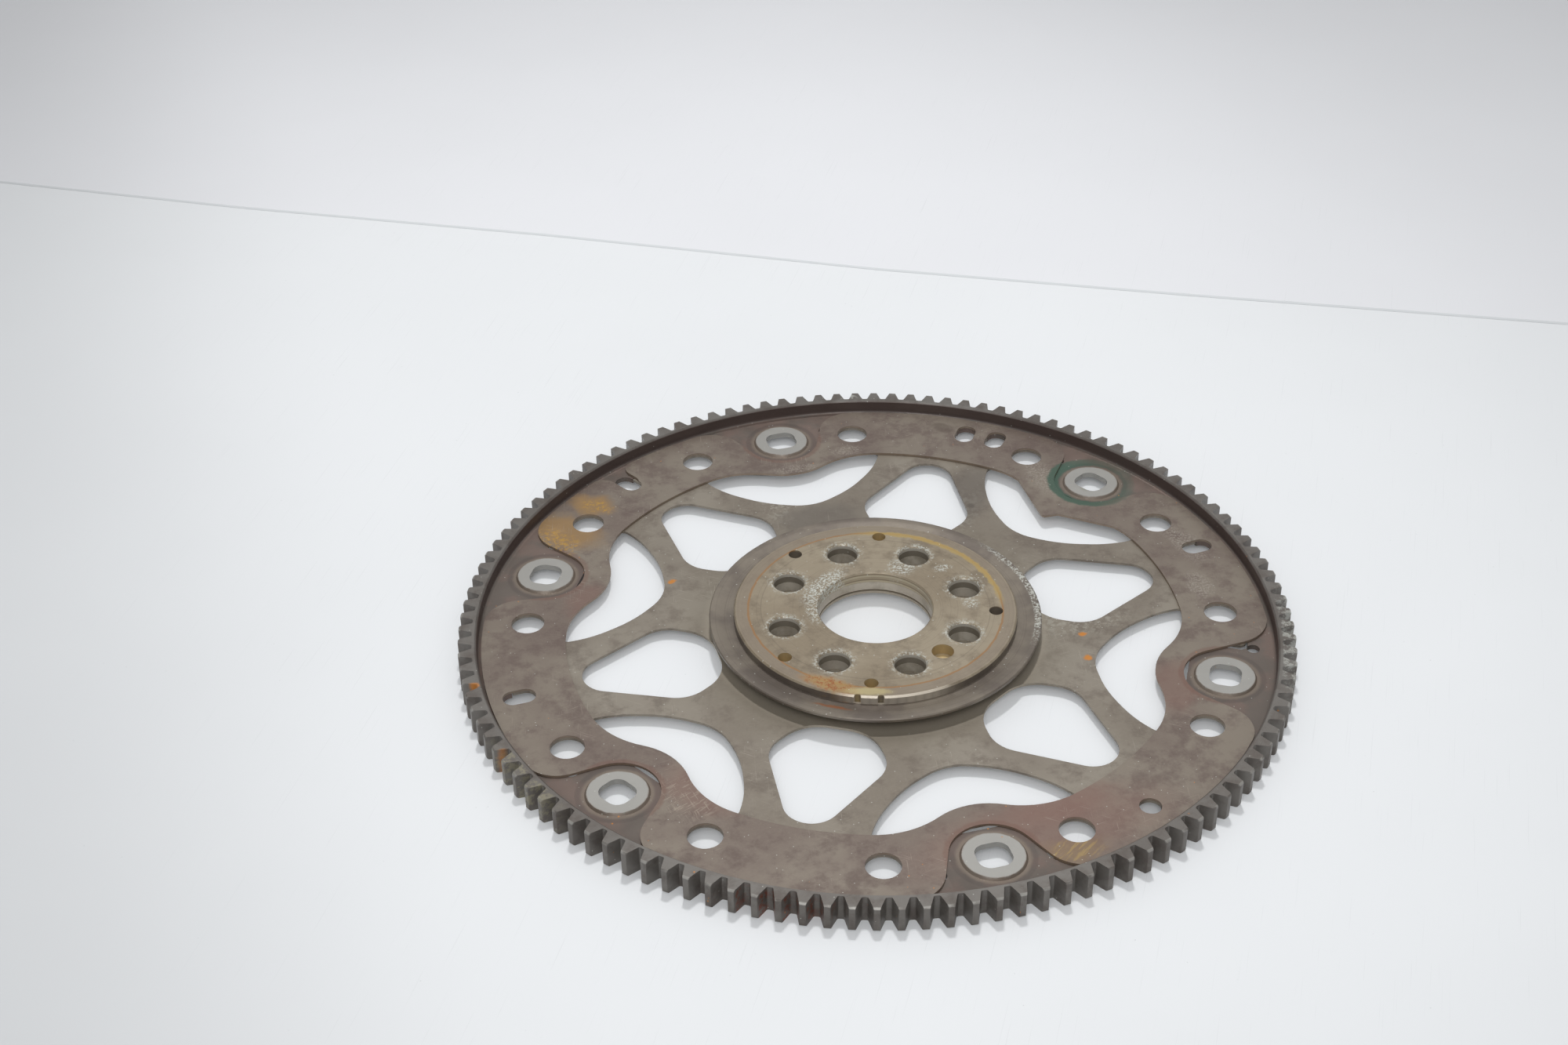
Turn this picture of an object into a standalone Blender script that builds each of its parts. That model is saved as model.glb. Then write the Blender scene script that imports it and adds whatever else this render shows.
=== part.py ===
"""Flexplate for an automatic gearbox: a toothed ring gear with six converter lugs, a thin
spoke disc inside it, a thin cover ring over both, and a stepped hub plate on a spacer.

The axis is +Z and the origin is on it, level with the ring gear's underside. Places round
the plate are clock angles: degrees clockwise from +Y, seen from above. Lug 0 is at +Y.
"""
import bpy
import bmesh
from math import acos, atan2, ceil, cos, degrees, hypot, pi, radians, sin, sqrt, tan

# Curves and circles stay this close to their true form
FACET_ERROR = 0.0002
# Air left between pieces that rest on each other
SEAT_GAP = 0.0003
# How far a cutter runs past the metal that it cuts
CUT_MARGIN = 0.001
# The most of a side that the rounding of one corner may take up
SIDE_SHARE = 0.49
# Edges that turn by more degrees than this look sharp
SHARP_TURN = 30.0

# Ring gear teeth and rim
TEETH = 122
TIP_RADIUS = 0.1550
TOOTH_DEPTH = 0.0051
TOOTH_TIP_WIDTH = 0.0021
TOOTH_ROOT_GAP = 0.0021
TOOTH_END_CHAMFER = 0.0005
FIRST_GAP_CLOCK = 1.06
RIM_HEIGHT = 0.0102
RIM_WALL = 0.0016
RIM_INNER_CHAMFER = 0.0007
RIM_FOOT_ROUND = 0.0015

# Web and lugs of the ring gear
WEB_THICKNESS = 0.0020
WEB_RING_WIDTH = 0.0103
LUGS = 6
LUG_INSET = 0.0181
TAB_RADIUS = 0.0136
TAB_CORNER = 0.0030
PAD_RADIUS = 0.0107
PAD_FOOT_RADIUS = 0.0114
PAD_SINK = 0.0001
PAD_PRESSING_DEPTH = 0.0007
PAD_PRESSING_INSET = 0.0016
SLOT_WIDTH = 0.0121
SLOT_HEIGHT = 0.0115
SLOT_CORNER = 0.0042
WEB_HOLE_RADIUS = 0.0024
WEB_HOLE_INSET = 0.0084
WEB_HOLE_CLOCK = 112.2

# Cover ring. A scallop side is the radius of its lobe and its lean in degrees.
COVER_DROP = 0.0049
COVER_THICKNESS = 0.0007
COVER_EDGE_GAP = 0.0015
COVER_LAP = 0.0146
SCALLOP_RADIUS = 0.0150
SCALLOP_SIDE = (0.0135, 23.0)
SCALLOP_WIDE_SIDE = (0.0160, 34.0)
SCALLOP_WIDE_CLOCK = 120.0
BULGE_RADIUS = 0.0252
BULGE_BLEND = 0.0320
# The nose: a point, a valley beside it and two shoulders, as (x, height) on the bulge
NOSE_CLOCK = 60.0
NOSE_POINT = (0.0012, -0.0075)
NOSE_VALLEY = (0.0046, -0.0020)
NOSE_SHOULDERS = ((-0.0225, 0.0061), (0.0245, 0.0058))
NOSE_TIP_ROUND = 0.0016
NOSE_VALLEY_ROUND = 0.0030
NOTCH_CLOCK = 330.0
NOTCH_WIDTH = 0.0088
NOTCH_DEPTH = 0.0144
NOTCH_MOUTH_ROUND = 0.0060

# Holes through the cover ring and the spoke disc
RIM_HOLE_RADIUS = 0.0062
RIM_HOLE_CLOCKS = (13.3, 46.3, 76.3, 103.3)
RIM_HOLE_REPEATS = 3

# Slots drilled through all three plates to balance the part
BALANCE_WIDTH = 0.0078
BALANCE_LENGTH = 0.0121
BALANCE_INSET = 0.0020
BALANCE_CLOCKS = (33.7, 39.2, 85.2, 267.7, 329.8)
BALANCE_HOLE_CLOCK = 154.3

# Spoke disc
SPOKE_THICKNESS = 0.0010
TAB_CLEARANCE = 0.0022
WINDOW_TURN = -0.3
KIDNEY_OUTSIDE_HUB = 0.0210
FAN_UNDER_HUB = 0.0010
FAN_MARGIN = 0.0020
# Corners of half a window: degrees off its middle, share of its depth, rounding
FAN_CORNERS = (
    (11.66, 0.0245, 0.0160),
    (15.78, 0.3710, 0.0080),
    (0.00, 1.1400, 0.0060),
)
KIDNEY_CORNERS = (
    (0.00, -0.0500, 0.0200),
    (11.38, 0.2300, 0.0500),
    (17.57, 0.7100, 0.0440),
    (19.06, 1.1650, 0.0038),
    (10.57, 0.9690, 0.0200),
    (0.00, 0.6960, 0.0240),
)

# Hub plate and spacer
BORE_RADIUS = 0.0214
BOSS_OUTSIDE_CRANK = 0.0170
LEDGE_WIDTH = 0.0092
HUB_THICKNESS = 0.0043
STEP_HEIGHT = 0.0011
LIP_RISE = 0.0006
LIP_WIDTH = 0.0036
LIP_SLOPE = 0.0018
HUB_EDGE_ROUND = 0.0004
BOSS_CHAMFER = 0.0006
BORE_CHAMFER = 0.0004
SPACER_THICKNESS = 0.0037
SPACER_UNDER_BOSS = 0.0008
SPACER_CHAMFER = 0.0008
CRANK_HOLES = 8
CRANK_OUTSIDE_BORE = 0.0144
CRANK_HOLE_RADIUS = 0.0058
CRANK_HOLE_CHAMFER = 0.0006
CRANK_HOLE_STEP = 0.0004
CRANK_FIRST_CLOCK = 41.8
PINS_OUTSIDE_CRANK = 0.0091
PIN_HOLE_RADIUS = 0.0026
PIN_HOLE_CLOCKS = (19.3, 109.3, 199.3, 244.3, 334.3)
DOWEL_HOLE_RADIUS = 0.0041
DOWEL_CLOCK = 154.3
BOSS_GROOVE_CLOCKS = (195.3, 204.4)
BOSS_GROOVE_RADIUS = 0.0013

# Sizes that follow from those above
ROOT_RADIUS = TIP_RADIUS - TOOTH_DEPTH
RIM_INNER_RADIUS = ROOT_RADIUS - RIM_WALL
COVER_OUTER_RADIUS = RIM_INNER_RADIUS - COVER_EDGE_GAP
LUG_CIRCLE_RADIUS = RIM_INNER_RADIUS - LUG_INSET
COVER_INNER_RADIUS = LUG_CIRCLE_RADIUS - COVER_LAP
WEB_EDGE_RADIUS = RIM_INNER_RADIUS - WEB_RING_WIDTH
SPOKE_OUTER_RADIUS = WEB_EDGE_RADIUS - SEAT_GAP
CRANK_CIRCLE_RADIUS = BORE_RADIUS + CRANK_OUTSIDE_BORE
BOSS_RADIUS = CRANK_CIRCLE_RADIUS + BOSS_OUTSIDE_CRANK
HUB_RADIUS = BOSS_RADIUS + LEDGE_WIDTH
SPACER_RADIUS = BOSS_RADIUS - SPACER_UNDER_BOSS
PIN_CIRCLE_RADIUS = CRANK_CIRCLE_RADIUS + PINS_OUTSIDE_CRANK
COVER_TOP = RIM_HEIGHT - COVER_DROP
COVER_BOTTOM = COVER_TOP - COVER_THICKNESS
SPOKE_TOP = COVER_BOTTOM - SEAT_GAP
SPOKE_BOTTOM = SPOKE_TOP - SPOKE_THICKNESS
WEB_BOTTOM = SPOKE_TOP - WEB_THICKNESS
PAD_TOP = COVER_TOP - PAD_SINK
SPACER_BOTTOM = SPOKE_TOP + SEAT_GAP
SPACER_TOP = SPACER_BOTTOM + SPACER_THICKNESS
HUB_BOTTOM = SPACER_TOP + SEAT_GAP
HUB_TOP = HUB_BOTTOM + HUB_THICKNESS
STEP_TOP = HUB_BOTTOM + STEP_HEIGHT
LUG_PITCH = 360.0 / LUGS
CRANK_PITCH = 360.0 / CRANK_HOLES


def clear_scene():
    """Start from an empty file."""
    for item in list(bpy.data.objects):
        bpy.data.objects.remove(item, do_unlink=True)


def new_collection(name):
    """A collection linked to the scene."""
    group = bpy.data.collections.new(name)
    bpy.context.scene.collection.children.link(group)
    return group


def steel(name, colour, roughness):
    """A metal material with the piece's own tint."""
    material = bpy.data.materials.new(name)
    material.use_nodes = True
    shader = material.node_tree.nodes["Principled BSDF"]
    shader.inputs["Base Color"].default_value = (*colour, 1.0)
    shader.inputs["Metallic"].default_value = 0.9
    shader.inputs["Roughness"].default_value = roughness
    return material


def turned_to(points, clock):
    """Turn points drawn about the +Y direction to a clock angle."""
    angle = radians(-clock)
    return [(x * cos(angle) - y * sin(angle), x * sin(angle) + y * cos(angle)) for x, y in points]


def at_clock(radius, clock):
    """The point at a radius and a clock angle."""
    return turned_to([(0.0, radius)], clock)[0]


def arc(centre, radius, start, end):
    """Points of an arc from one angle to another, in degrees, both ends included."""
    if radius < FACET_ERROR:
        return [centre]
    step = degrees(2 * acos(1 - FACET_ERROR / radius))
    count = max(1, ceil(abs(end - start) / step))
    angles = [radians(start + (end - start) * i / count) for i in range(count + 1)]
    return [(centre[0] + radius * cos(a), centre[1] + radius * sin(a)) for a in angles]


def circle(radius, centre=(0.0, 0.0)):
    """Points once round a circle."""
    return arc(centre, radius, 0.0, 360.0)[:-1]


def mirrored(points):
    """The same points across the Y axis, in reverse order."""
    return [(-x, y) for x, y in reversed(points)]


def corner_arc(before, corner, after, radius):
    """Round one corner, with no more radius than its two sides leave room for."""
    ax, ay = before[0] - corner[0], before[1] - corner[1]
    bx, by = after[0] - corner[0], after[1] - corner[1]
    a_length, b_length = hypot(ax, ay), hypot(bx, by)
    ax, ay, bx, by = ax / a_length, ay / a_length, bx / b_length, by / b_length
    half = acos(max(-1.0, min(1.0, ax * bx + ay * by))) / 2
    reach = min(radius / tan(half), SIDE_SHARE * a_length, SIDE_SHARE * b_length)
    radius = reach * tan(half)
    middle = hypot(ax + bx, ay + by)
    away = radius / sin(half)
    centre = (corner[0] + (ax + bx) / middle * away, corner[1] + (ay + by) / middle * away)
    start = degrees(atan2(corner[1] + ay * reach - centre[1], corner[0] + ax * reach - centre[0]))
    end = degrees(atan2(corner[1] + by * reach - centre[1], corner[0] + bx * reach - centre[0]))
    turn = (end - start + 180.0) % 360.0 - 180.0
    return arc(centre, radius, start, start + turn)


def rounded(corners):
    """A closed outline through corners given as (x, y, rounding)."""
    points = []
    for i, (x, y, radius) in enumerate(corners):
        before, after = corners[i - 1], corners[(i + 1) % len(corners)]
        points += corner_arc(before, (x, y), after, radius) if radius else [(x, y)]
    return points


def rounded_box(width, height, radius, centre=(0.0, 0.0)):
    """A rectangle with round corners."""
    x, y = width / 2, height / 2
    corners = ((-x, -y), (x, -y), (x, y), (-x, y))
    return rounded([(centre[0] + cx, centre[1] + cy, radius) for cx, cy in corners])


def dent_side(edge_radius, dent_radius, side):
    """Right half of a dent about the lug at +Y: the dent's arc, its flank and its lobe."""
    lobe_radius, flare = side
    lean = radians(flare)
    along, across = (sin(lean), cos(lean)), (cos(lean), -sin(lean))
    start = (dent_radius * across[0], LUG_CIRCLE_RADIUS + dent_radius * across[1])
    px, py = start[0] + lobe_radius * across[0], start[1] + lobe_radius * across[1]
    ahead = px * along[0] + py * along[1]
    run = sqrt(ahead ** 2 - px ** 2 - py ** 2 + (edge_radius - lobe_radius) ** 2) - ahead
    lobe = (px + run * along[0], py + run * along[1])
    bottom = arc((0.0, LUG_CIRCLE_RADIUS), dent_radius, 270.0, 360.0 - flare)
    return bottom + arc(lobe, lobe_radius, 180.0 - flare, degrees(atan2(lobe[1], lobe[0])))


def dented_circle(edge_radius, dent_radius, left_sides, right_side):
    """A circle with a round dent about each lug; every dent has its own left side."""
    right = dent_side(edge_radius, dent_radius, right_side)
    points = []
    for lug in range(LUGS):
        path = mirrored(dent_side(edge_radius, dent_radius, left_sides[lug])) + right[1:]
        next_left = dent_side(edge_radius, dent_radius, left_sides[(lug + 1) % LUGS])
        start = degrees(atan2(path[-1][1], path[-1][0]))
        end = 180.0 - degrees(atan2(next_left[-1][1], next_left[-1][0])) - LUG_PITCH
        path += arc((0.0, 0.0), edge_radius, start, end)[1:-1]
        points += turned_to(path, lug * LUG_PITCH)
    return points


def bulge_side():
    """Right half of the cover ring's inner edge where it swells round the lug at +Y."""
    centre_radius = COVER_INNER_RADIUS - BULGE_BLEND
    reach = BULGE_RADIUS + BULGE_BLEND
    swing = acos((centre_radius ** 2 + LUG_CIRCLE_RADIUS ** 2 - reach ** 2)
                 / (2 * centre_radius * LUG_CIRCLE_RADIUS))
    blend = (centre_radius * sin(swing), centre_radius * cos(swing))
    down = degrees(atan2(blend[1] - LUG_CIRCLE_RADIUS, blend[0]))
    bulge = arc((0.0, LUG_CIRCLE_RADIUS), BULGE_RADIUS, -90.0, down)
    return bulge, arc(blend, BULGE_BLEND, down + 180.0, 90.0 - degrees(swing))


def nose():
    """The pointed nose on the cover ring's inner edge, from the left blend to the right."""
    crest = LUG_CIRCLE_RADIUS - BULGE_RADIUS
    corners = (NOSE_SHOULDERS[0], NOSE_POINT, NOSE_VALLEY, NOSE_SHOULDERS[1])
    left, point, valley, right = [(x, crest + height) for x, height in corners]
    path = corner_arc(left, point, valley, NOSE_TIP_ROUND)
    return [left] + path + corner_arc(point, valley, right, NOSE_VALLEY_ROUND) + [right]


def cover_inner_edge():
    """The cover ring's inner outline, with its bulges and its nose."""
    bulge, blend = bulge_side()
    points = []
    for lug in range(LUGS):
        path = mirrored(blend) + mirrored(bulge)[1:] + bulge[1:] + blend[1:]
        if lug * LUG_PITCH == NOSE_CLOCK:
            tongue = nose()
            path = [p for p in path if p[0] < tongue[0][0] or p[0] > tongue[-1][0]]
            before = [p for p in path if p[0] < 0]
            path = before + tongue + [p for p in path if p[0] > 0]
        start = degrees(atan2(blend[-1][1], blend[-1][0]))
        path += arc((0.0, 0.0), COVER_INNER_RADIUS, start, 180.0 - start - LUG_PITCH)[1:-1]
        points += turned_to(path, lug * LUG_PITCH)
    return points


def cover_outer_edge():
    """The cover ring's outer outline; one scallop side leans out to clear a hole in the web."""
    wide = [lug * LUG_PITCH == SCALLOP_WIDE_CLOCK for lug in range(LUGS)]
    left_sides = [SCALLOP_WIDE_SIDE if here else SCALLOP_SIDE for here in wide]
    return dented_circle(COVER_OUTER_RADIUS, SCALLOP_RADIUS, left_sides, SCALLOP_SIDE)


def web_inner_edge():
    """The web's inner outline: a circle with a straight-sided tab reaching in at each lug."""
    side = (TAB_CORNER, 0.0)
    return dented_circle(WEB_EDGE_RADIUS, TAB_RADIUS, [side] * LUGS, side)


def spoke_outer_edge():
    """The spoke disc's outer outline, which clears the tabs."""
    side = (TAB_CORNER, 0.0)
    dent = TAB_RADIUS + TAB_CLEARANCE
    return dented_circle(SPOKE_OUTER_RADIUS, dent, [side] * LUGS, side)


def window(corners, root_end, tip_end):
    """A window about +Y between two radii, from the corners of its right half."""
    depth = tip_end - root_end
    half = [(*at_clock(root_end + share * depth, clock), r) for clock, share, r in corners]
    other = [(-x, y, r) for x, y, r in reversed(half) if x > 0]
    return rounded(half + other)


def windows():
    """Outlines of all windows: kidneys below the lugs, and fans in the spokes between."""
    kidney = window(KIDNEY_CORNERS, HUB_RADIUS + KIDNEY_OUTSIDE_HUB, COVER_INNER_RADIUS)
    fan = window(FAN_CORNERS, HUB_RADIUS - FAN_UNDER_HUB, COVER_INNER_RADIUS - FAN_MARGIN)
    clocks = [WINDOW_TURN + LUG_PITCH * i for i in range(LUGS)]
    fans = [turned_to(fan, clock + LUG_PITCH / 2) for clock in clocks]
    return [turned_to(kidney, clock) for clock in clocks] + fans


def rim_hole_clocks():
    """Clock angles of the round holes near the rim."""
    turn = 360.0 / RIM_HOLE_REPEATS
    return [clock + turn * i for i in range(RIM_HOLE_REPEATS) for clock in RIM_HOLE_CLOCKS]


def rim_holes():
    """Outlines of the round holes near the rim, on the lug circle."""
    return [circle(RIM_HOLE_RADIUS, at_clock(LUG_CIRCLE_RADIUS, c)) for c in rim_hole_clocks()]


def crank_clocks():
    """Clock angles of the crankshaft bolt holes."""
    return [CRANK_FIRST_CLOCK + CRANK_PITCH * i for i in range(CRANK_HOLES)]


def plate(name, loops, bottom, top):
    """A flat plate from closed outlines, as a curve."""
    curve = bpy.data.curves.new(name, "CURVE")
    curve.dimensions = "2D"
    curve.fill_mode = "BOTH"
    curve.extrude = (top - bottom) / 2
    for loop in loops:
        spline = curve.splines.new("POLY")
        spline.points.add(len(loop) - 1)
        for point, (x, y) in zip(spline.points, loop):
            point.co = (x, y, 0.0, 1.0)
        spline.use_cyclic_u = True
    item = bpy.data.objects.new(name, curve)
    bpy.context.scene.collection.objects.link(item)
    item.location.z = (bottom + top) / 2
    return item


def solid_plate(name, loops, bottom, top, group):
    """A flat plate as a closed mesh in a collection."""
    flat = plate(name + "_outline", loops, bottom, top)
    bpy.context.view_layer.update()
    evaluated = flat.evaluated_get(bpy.context.evaluated_depsgraph_get())
    mesh = bpy.data.meshes.new_from_object(evaluated)
    place = flat.matrix_world.copy()
    bpy.data.objects.remove(flat, do_unlink=True)
    shape = bmesh.new()
    shape.from_mesh(mesh)
    bmesh.ops.remove_doubles(shape, verts=shape.verts, dist=0.000001)
    bmesh.ops.recalc_face_normals(shape, faces=shape.faces)
    shape.to_mesh(mesh)
    shape.free()
    mesh.name = name
    item = bpy.data.objects.new(name, mesh)
    item.matrix_world = place
    group.objects.link(item)
    return item


def turned(name, profile, steps, first_clock, group):
    """A turned piece: a closed profile of (radius, height) swept once round the axis."""
    mesh = bpy.data.meshes.new(name)
    edges = [(i, (i + 1) % len(profile)) for i in range(len(profile))]
    mesh.from_pydata([(radius, 0.0, height) for radius, height in profile], edges, [])
    item = bpy.data.objects.new(name, mesh)
    group.objects.link(item)
    item.rotation_euler.z = radians(90.0 - first_clock)
    screw = item.modifiers.new("turn", "SCREW")
    screw.axis = "Z"
    screw.steps = steps
    screw.render_steps = steps
    screw.use_merge_vertices = True
    screw.merge_threshold = 0.00001
    return item


def turning_steps(radius):
    """How many facets a turned piece of this radius needs."""
    return ceil(pi / acos(1 - FACET_ERROR / radius))


def frustum(name, low_radius, high_radius, bottom, top, place, group, hole_radius=None):
    """A round peg or cutter, straight or tapered; it can take its facets from a hole."""
    facets = turning_steps(hole_radius or max(low_radius, high_radius))
    shape = bmesh.new()
    bmesh.ops.create_cone(shape, cap_ends=True, segments=facets, radius1=low_radius,
                          radius2=high_radius, depth=top - bottom)
    mesh = bpy.data.meshes.new(name)
    shape.to_mesh(mesh)
    shape.free()
    item = bpy.data.objects.new(name, mesh)
    item.location = (place[0], place[1], (bottom + top) / 2)
    group.objects.link(item)
    return item


def as_cutter(item):
    """Mark a helper solid so that it isn't taken for a piece."""
    item.hide_render = True
    item.display_type = "WIRE"
    return item


def combine(item, helper, operation):
    """Cut a helper from a piece, or join it on."""
    boolean = item.modifiers.new(helper.name, "BOOLEAN")
    boolean.operation = operation
    boolean.solver = "EXACT"
    boolean.object = as_cutter(helper)


def finish(item, material):
    """Give a piece its material, and smooth shading that keeps its sharp edges."""
    item.data.materials.append(material)
    item.data.shade_smooth()
    item.data.set_sharp_from_angle(angle=radians(SHARP_TURN))


def tooth_gap():
    """Outline of the space between two teeth, about the +Y direction."""
    pitch = 2 * pi * TIP_RADIUS / TEETH
    mouth = (pitch - TOOTH_TIP_WIDTH) / 2
    root = TOOTH_ROOT_GAP / 2
    widening = (mouth - root) / TOOTH_DEPTH * CUT_MARGIN
    outside = TIP_RADIUS + CUT_MARGIN
    return [
        (-mouth - widening, outside),
        (-root, ROOT_RADIUS),
        (root, ROOT_RADIUS),
        (mouth + widening, outside),
    ]


def gear_profile():
    """Half section of the ring gear's blank, from the rim's top outer edge and down."""
    facet = cos(pi / TEETH)
    tip, inner = TIP_RADIUS / facet, RIM_INNER_RADIUS
    web_end = LUG_CIRCLE_RADIUS - TAB_RADIUS - CUT_MARGIN
    foot = arc((inner - RIM_FOOT_ROUND, SPOKE_TOP + RIM_FOOT_ROUND), RIM_FOOT_ROUND, 270.0, 360.0)
    return [
        (tip - TOOTH_END_CHAMFER, RIM_HEIGHT),
        (tip, RIM_HEIGHT - TOOTH_END_CHAMFER),
        (tip, TOOTH_END_CHAMFER),
        (tip - TOOTH_END_CHAMFER, 0.0),
        (inner, 0.0),
        (inner, WEB_BOTTOM),
        (web_end, WEB_BOTTOM),
        (web_end, SPOKE_TOP),
        *foot,
        (inner, RIM_HEIGHT - RIM_INNER_CHAMFER),
        (inner + RIM_INNER_CHAMFER, RIM_HEIGHT),
    ]


def balance_slots():
    """Outlines of the balancing slots and the one balancing hole."""
    centre = (0.0, WEB_EDGE_RADIUS - BALANCE_INSET)
    slot = rounded_box(BALANCE_WIDTH, BALANCE_LENGTH, BALANCE_WIDTH / 2, centre)
    hole = circle(BALANCE_WIDTH / 2, centre)
    return [turned_to(slot, c) for c in BALANCE_CLOCKS] + [turned_to(hole, BALANCE_HOLE_CLOCK)]


def build_ring_gear(parts, cutters):
    """The toothed rim with its web, six tabs and their raised, slotted pads."""
    low, high = -CUT_MARGIN, RIM_HEIGHT + CUT_MARGIN
    gear = turned("ring_gear", gear_profile(), TEETH, FIRST_GAP_CLOCK, parts)
    combine(gear, solid_plate("web_window", [web_inner_edge()], low, high, cutters), "DIFFERENCE")
    gap = tooth_gap()
    gaps = [turned_to(gap, FIRST_GAP_CLOCK + 360.0 / TEETH * i) for i in range(TEETH)]
    combine(gear, solid_plate("tooth_gaps", gaps, low, high, cutters), "DIFFERENCE")
    for lug in range(LUGS):
        place = at_clock(LUG_CIRCLE_RADIUS, lug * LUG_PITCH)
        middle = SPOKE_TOP - WEB_THICKNESS / 2
        spread = PAD_FOOT_RADIUS - PAD_RADIUS
        foot = PAD_FOOT_RADIUS + spread * (SPOKE_TOP - middle) / (PAD_TOP - SPOKE_TOP)
        pad = frustum(f"pad_{lug}", foot, PAD_RADIUS, middle, PAD_TOP, place, cutters)
        combine(gear, pad, "UNION")
        pressing = PAD_RADIUS - PAD_PRESSING_INSET
        hollow = frustum(f"pad_hollow_{lug}", pressing + PAD_PRESSING_DEPTH, pressing,
                         WEB_BOTTOM - PAD_PRESSING_DEPTH, WEB_BOTTOM + PAD_PRESSING_DEPTH,
                         place, cutters)
        combine(gear, hollow, "DIFFERENCE")
    slot = rounded_box(SLOT_WIDTH, SLOT_HEIGHT, SLOT_CORNER, (0.0, LUG_CIRCLE_RADIUS))
    slots = [turned_to(slot, lug * LUG_PITCH) for lug in range(LUGS)]
    combine(gear, solid_plate("lug_slots", slots, low, high, cutters), "DIFFERENCE")
    web_hole = frustum("web_hole", WEB_HOLE_RADIUS, WEB_HOLE_RADIUS, low, high,
                       at_clock(RIM_INNER_RADIUS - WEB_HOLE_INSET, WEB_HOLE_CLOCK), cutters)
    combine(gear, web_hole, "DIFFERENCE")
    combine(gear, bpy.data.objects["balance_slots"], "DIFFERENCE")
    finish(gear, steel("gear_steel", (0.22, 0.21, 0.20), 0.55))


def build_cover_ring(parts, cutters):
    """The thin ring over the joint between the web and the spoke disc."""
    loops = [cover_outer_edge(), cover_inner_edge()] + rim_holes()
    cover = solid_plate("cover_ring", loops, COVER_BOTTOM, COVER_TOP, parts)
    side = NOTCH_WIDTH / 2
    mouth = side + 2 * NOTCH_MOUTH_ROUND
    edge, bottom = COVER_OUTER_RADIUS, COVER_OUTER_RADIUS - NOTCH_DEPTH
    outline = rounded([
        (-mouth, edge + CUT_MARGIN, 0.0),
        (-side, edge - CUT_MARGIN, NOTCH_MOUTH_ROUND),
        (-side, bottom, side),
        (side, bottom, side),
        (side, edge - CUT_MARGIN, NOTCH_MOUTH_ROUND),
        (mouth, edge + CUT_MARGIN, 0.0),
    ])
    notch = solid_plate("cover_notch", [turned_to(outline, NOTCH_CLOCK)],
                        COVER_BOTTOM - CUT_MARGIN, COVER_TOP + CUT_MARGIN, cutters)
    combine(cover, notch, "DIFFERENCE")
    combine(cover, bpy.data.objects["balance_slots"], "DIFFERENCE")
    finish(cover, steel("cover_steel", (0.23, 0.18, 0.165), 0.5))


def build_spoke_disc(parts):
    """The thin disc with its kidney and fan windows, from the hub to the web's edge."""
    loops = [spoke_outer_edge(), circle(BORE_RADIUS)] + rim_holes() + windows()
    bolt = CRANK_HOLE_RADIUS - CRANK_HOLE_STEP
    loops += [circle(bolt, at_clock(CRANK_CIRCLE_RADIUS, c)) for c in crank_clocks()]
    disc = solid_plate("spoke_disc", loops, SPOKE_BOTTOM, SPOKE_TOP, parts)
    combine(disc, bpy.data.objects["balance_slots"], "DIFFERENCE")
    finish(disc, steel("spoke_steel", (0.24, 0.21, 0.185), 0.5))


def build_hub_spacer(parts, cutters):
    """The plain ring that holds the hub plate off the spoke disc."""
    profile = [
        (SPACER_RADIUS, SPACER_TOP),
        (SPACER_RADIUS, SPACER_BOTTOM),
        (BORE_RADIUS + SPACER_CHAMFER, SPACER_BOTTOM),
        (BORE_RADIUS, SPACER_BOTTOM + SPACER_CHAMFER),
        (BORE_RADIUS, SPACER_TOP),
    ]
    spacer = turned("hub_spacer", profile, turning_steps(SPACER_RADIUS), 0.0, parts)
    holes = [circle(CRANK_HOLE_RADIUS, at_clock(CRANK_CIRCLE_RADIUS, c)) for c in crank_clocks()]
    drill = solid_plate("spacer_holes", holes, SPACER_BOTTOM - CUT_MARGIN, SPACER_TOP + CUT_MARGIN,
                        cutters)
    combine(spacer, drill, "DIFFERENCE")
    finish(spacer, steel("spacer_steel", (0.22, 0.19, 0.16), 0.55))


def hub_profile():
    """Half section of the hub plate, from the boss's top outer edge and down."""
    lip_top = STEP_TOP + LIP_RISE
    lip_start = HUB_RADIUS - LIP_WIDTH
    return [
        (BOSS_RADIUS - BOSS_CHAMFER, HUB_TOP),
        (BOSS_RADIUS, HUB_TOP - BOSS_CHAMFER),
        (BOSS_RADIUS, STEP_TOP),
        (lip_start - LIP_SLOPE, STEP_TOP),
        (lip_start, lip_top),
        (HUB_RADIUS - HUB_EDGE_ROUND, lip_top),
        (HUB_RADIUS, lip_top - HUB_EDGE_ROUND),
        (HUB_RADIUS, HUB_BOTTOM + HUB_EDGE_ROUND),
        (HUB_RADIUS - HUB_EDGE_ROUND, HUB_BOTTOM),
        (BORE_RADIUS, HUB_BOTTOM),
        (BORE_RADIUS, HUB_TOP - BORE_CHAMFER),
        (BORE_RADIUS + BORE_CHAMFER, HUB_TOP),
    ]


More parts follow.
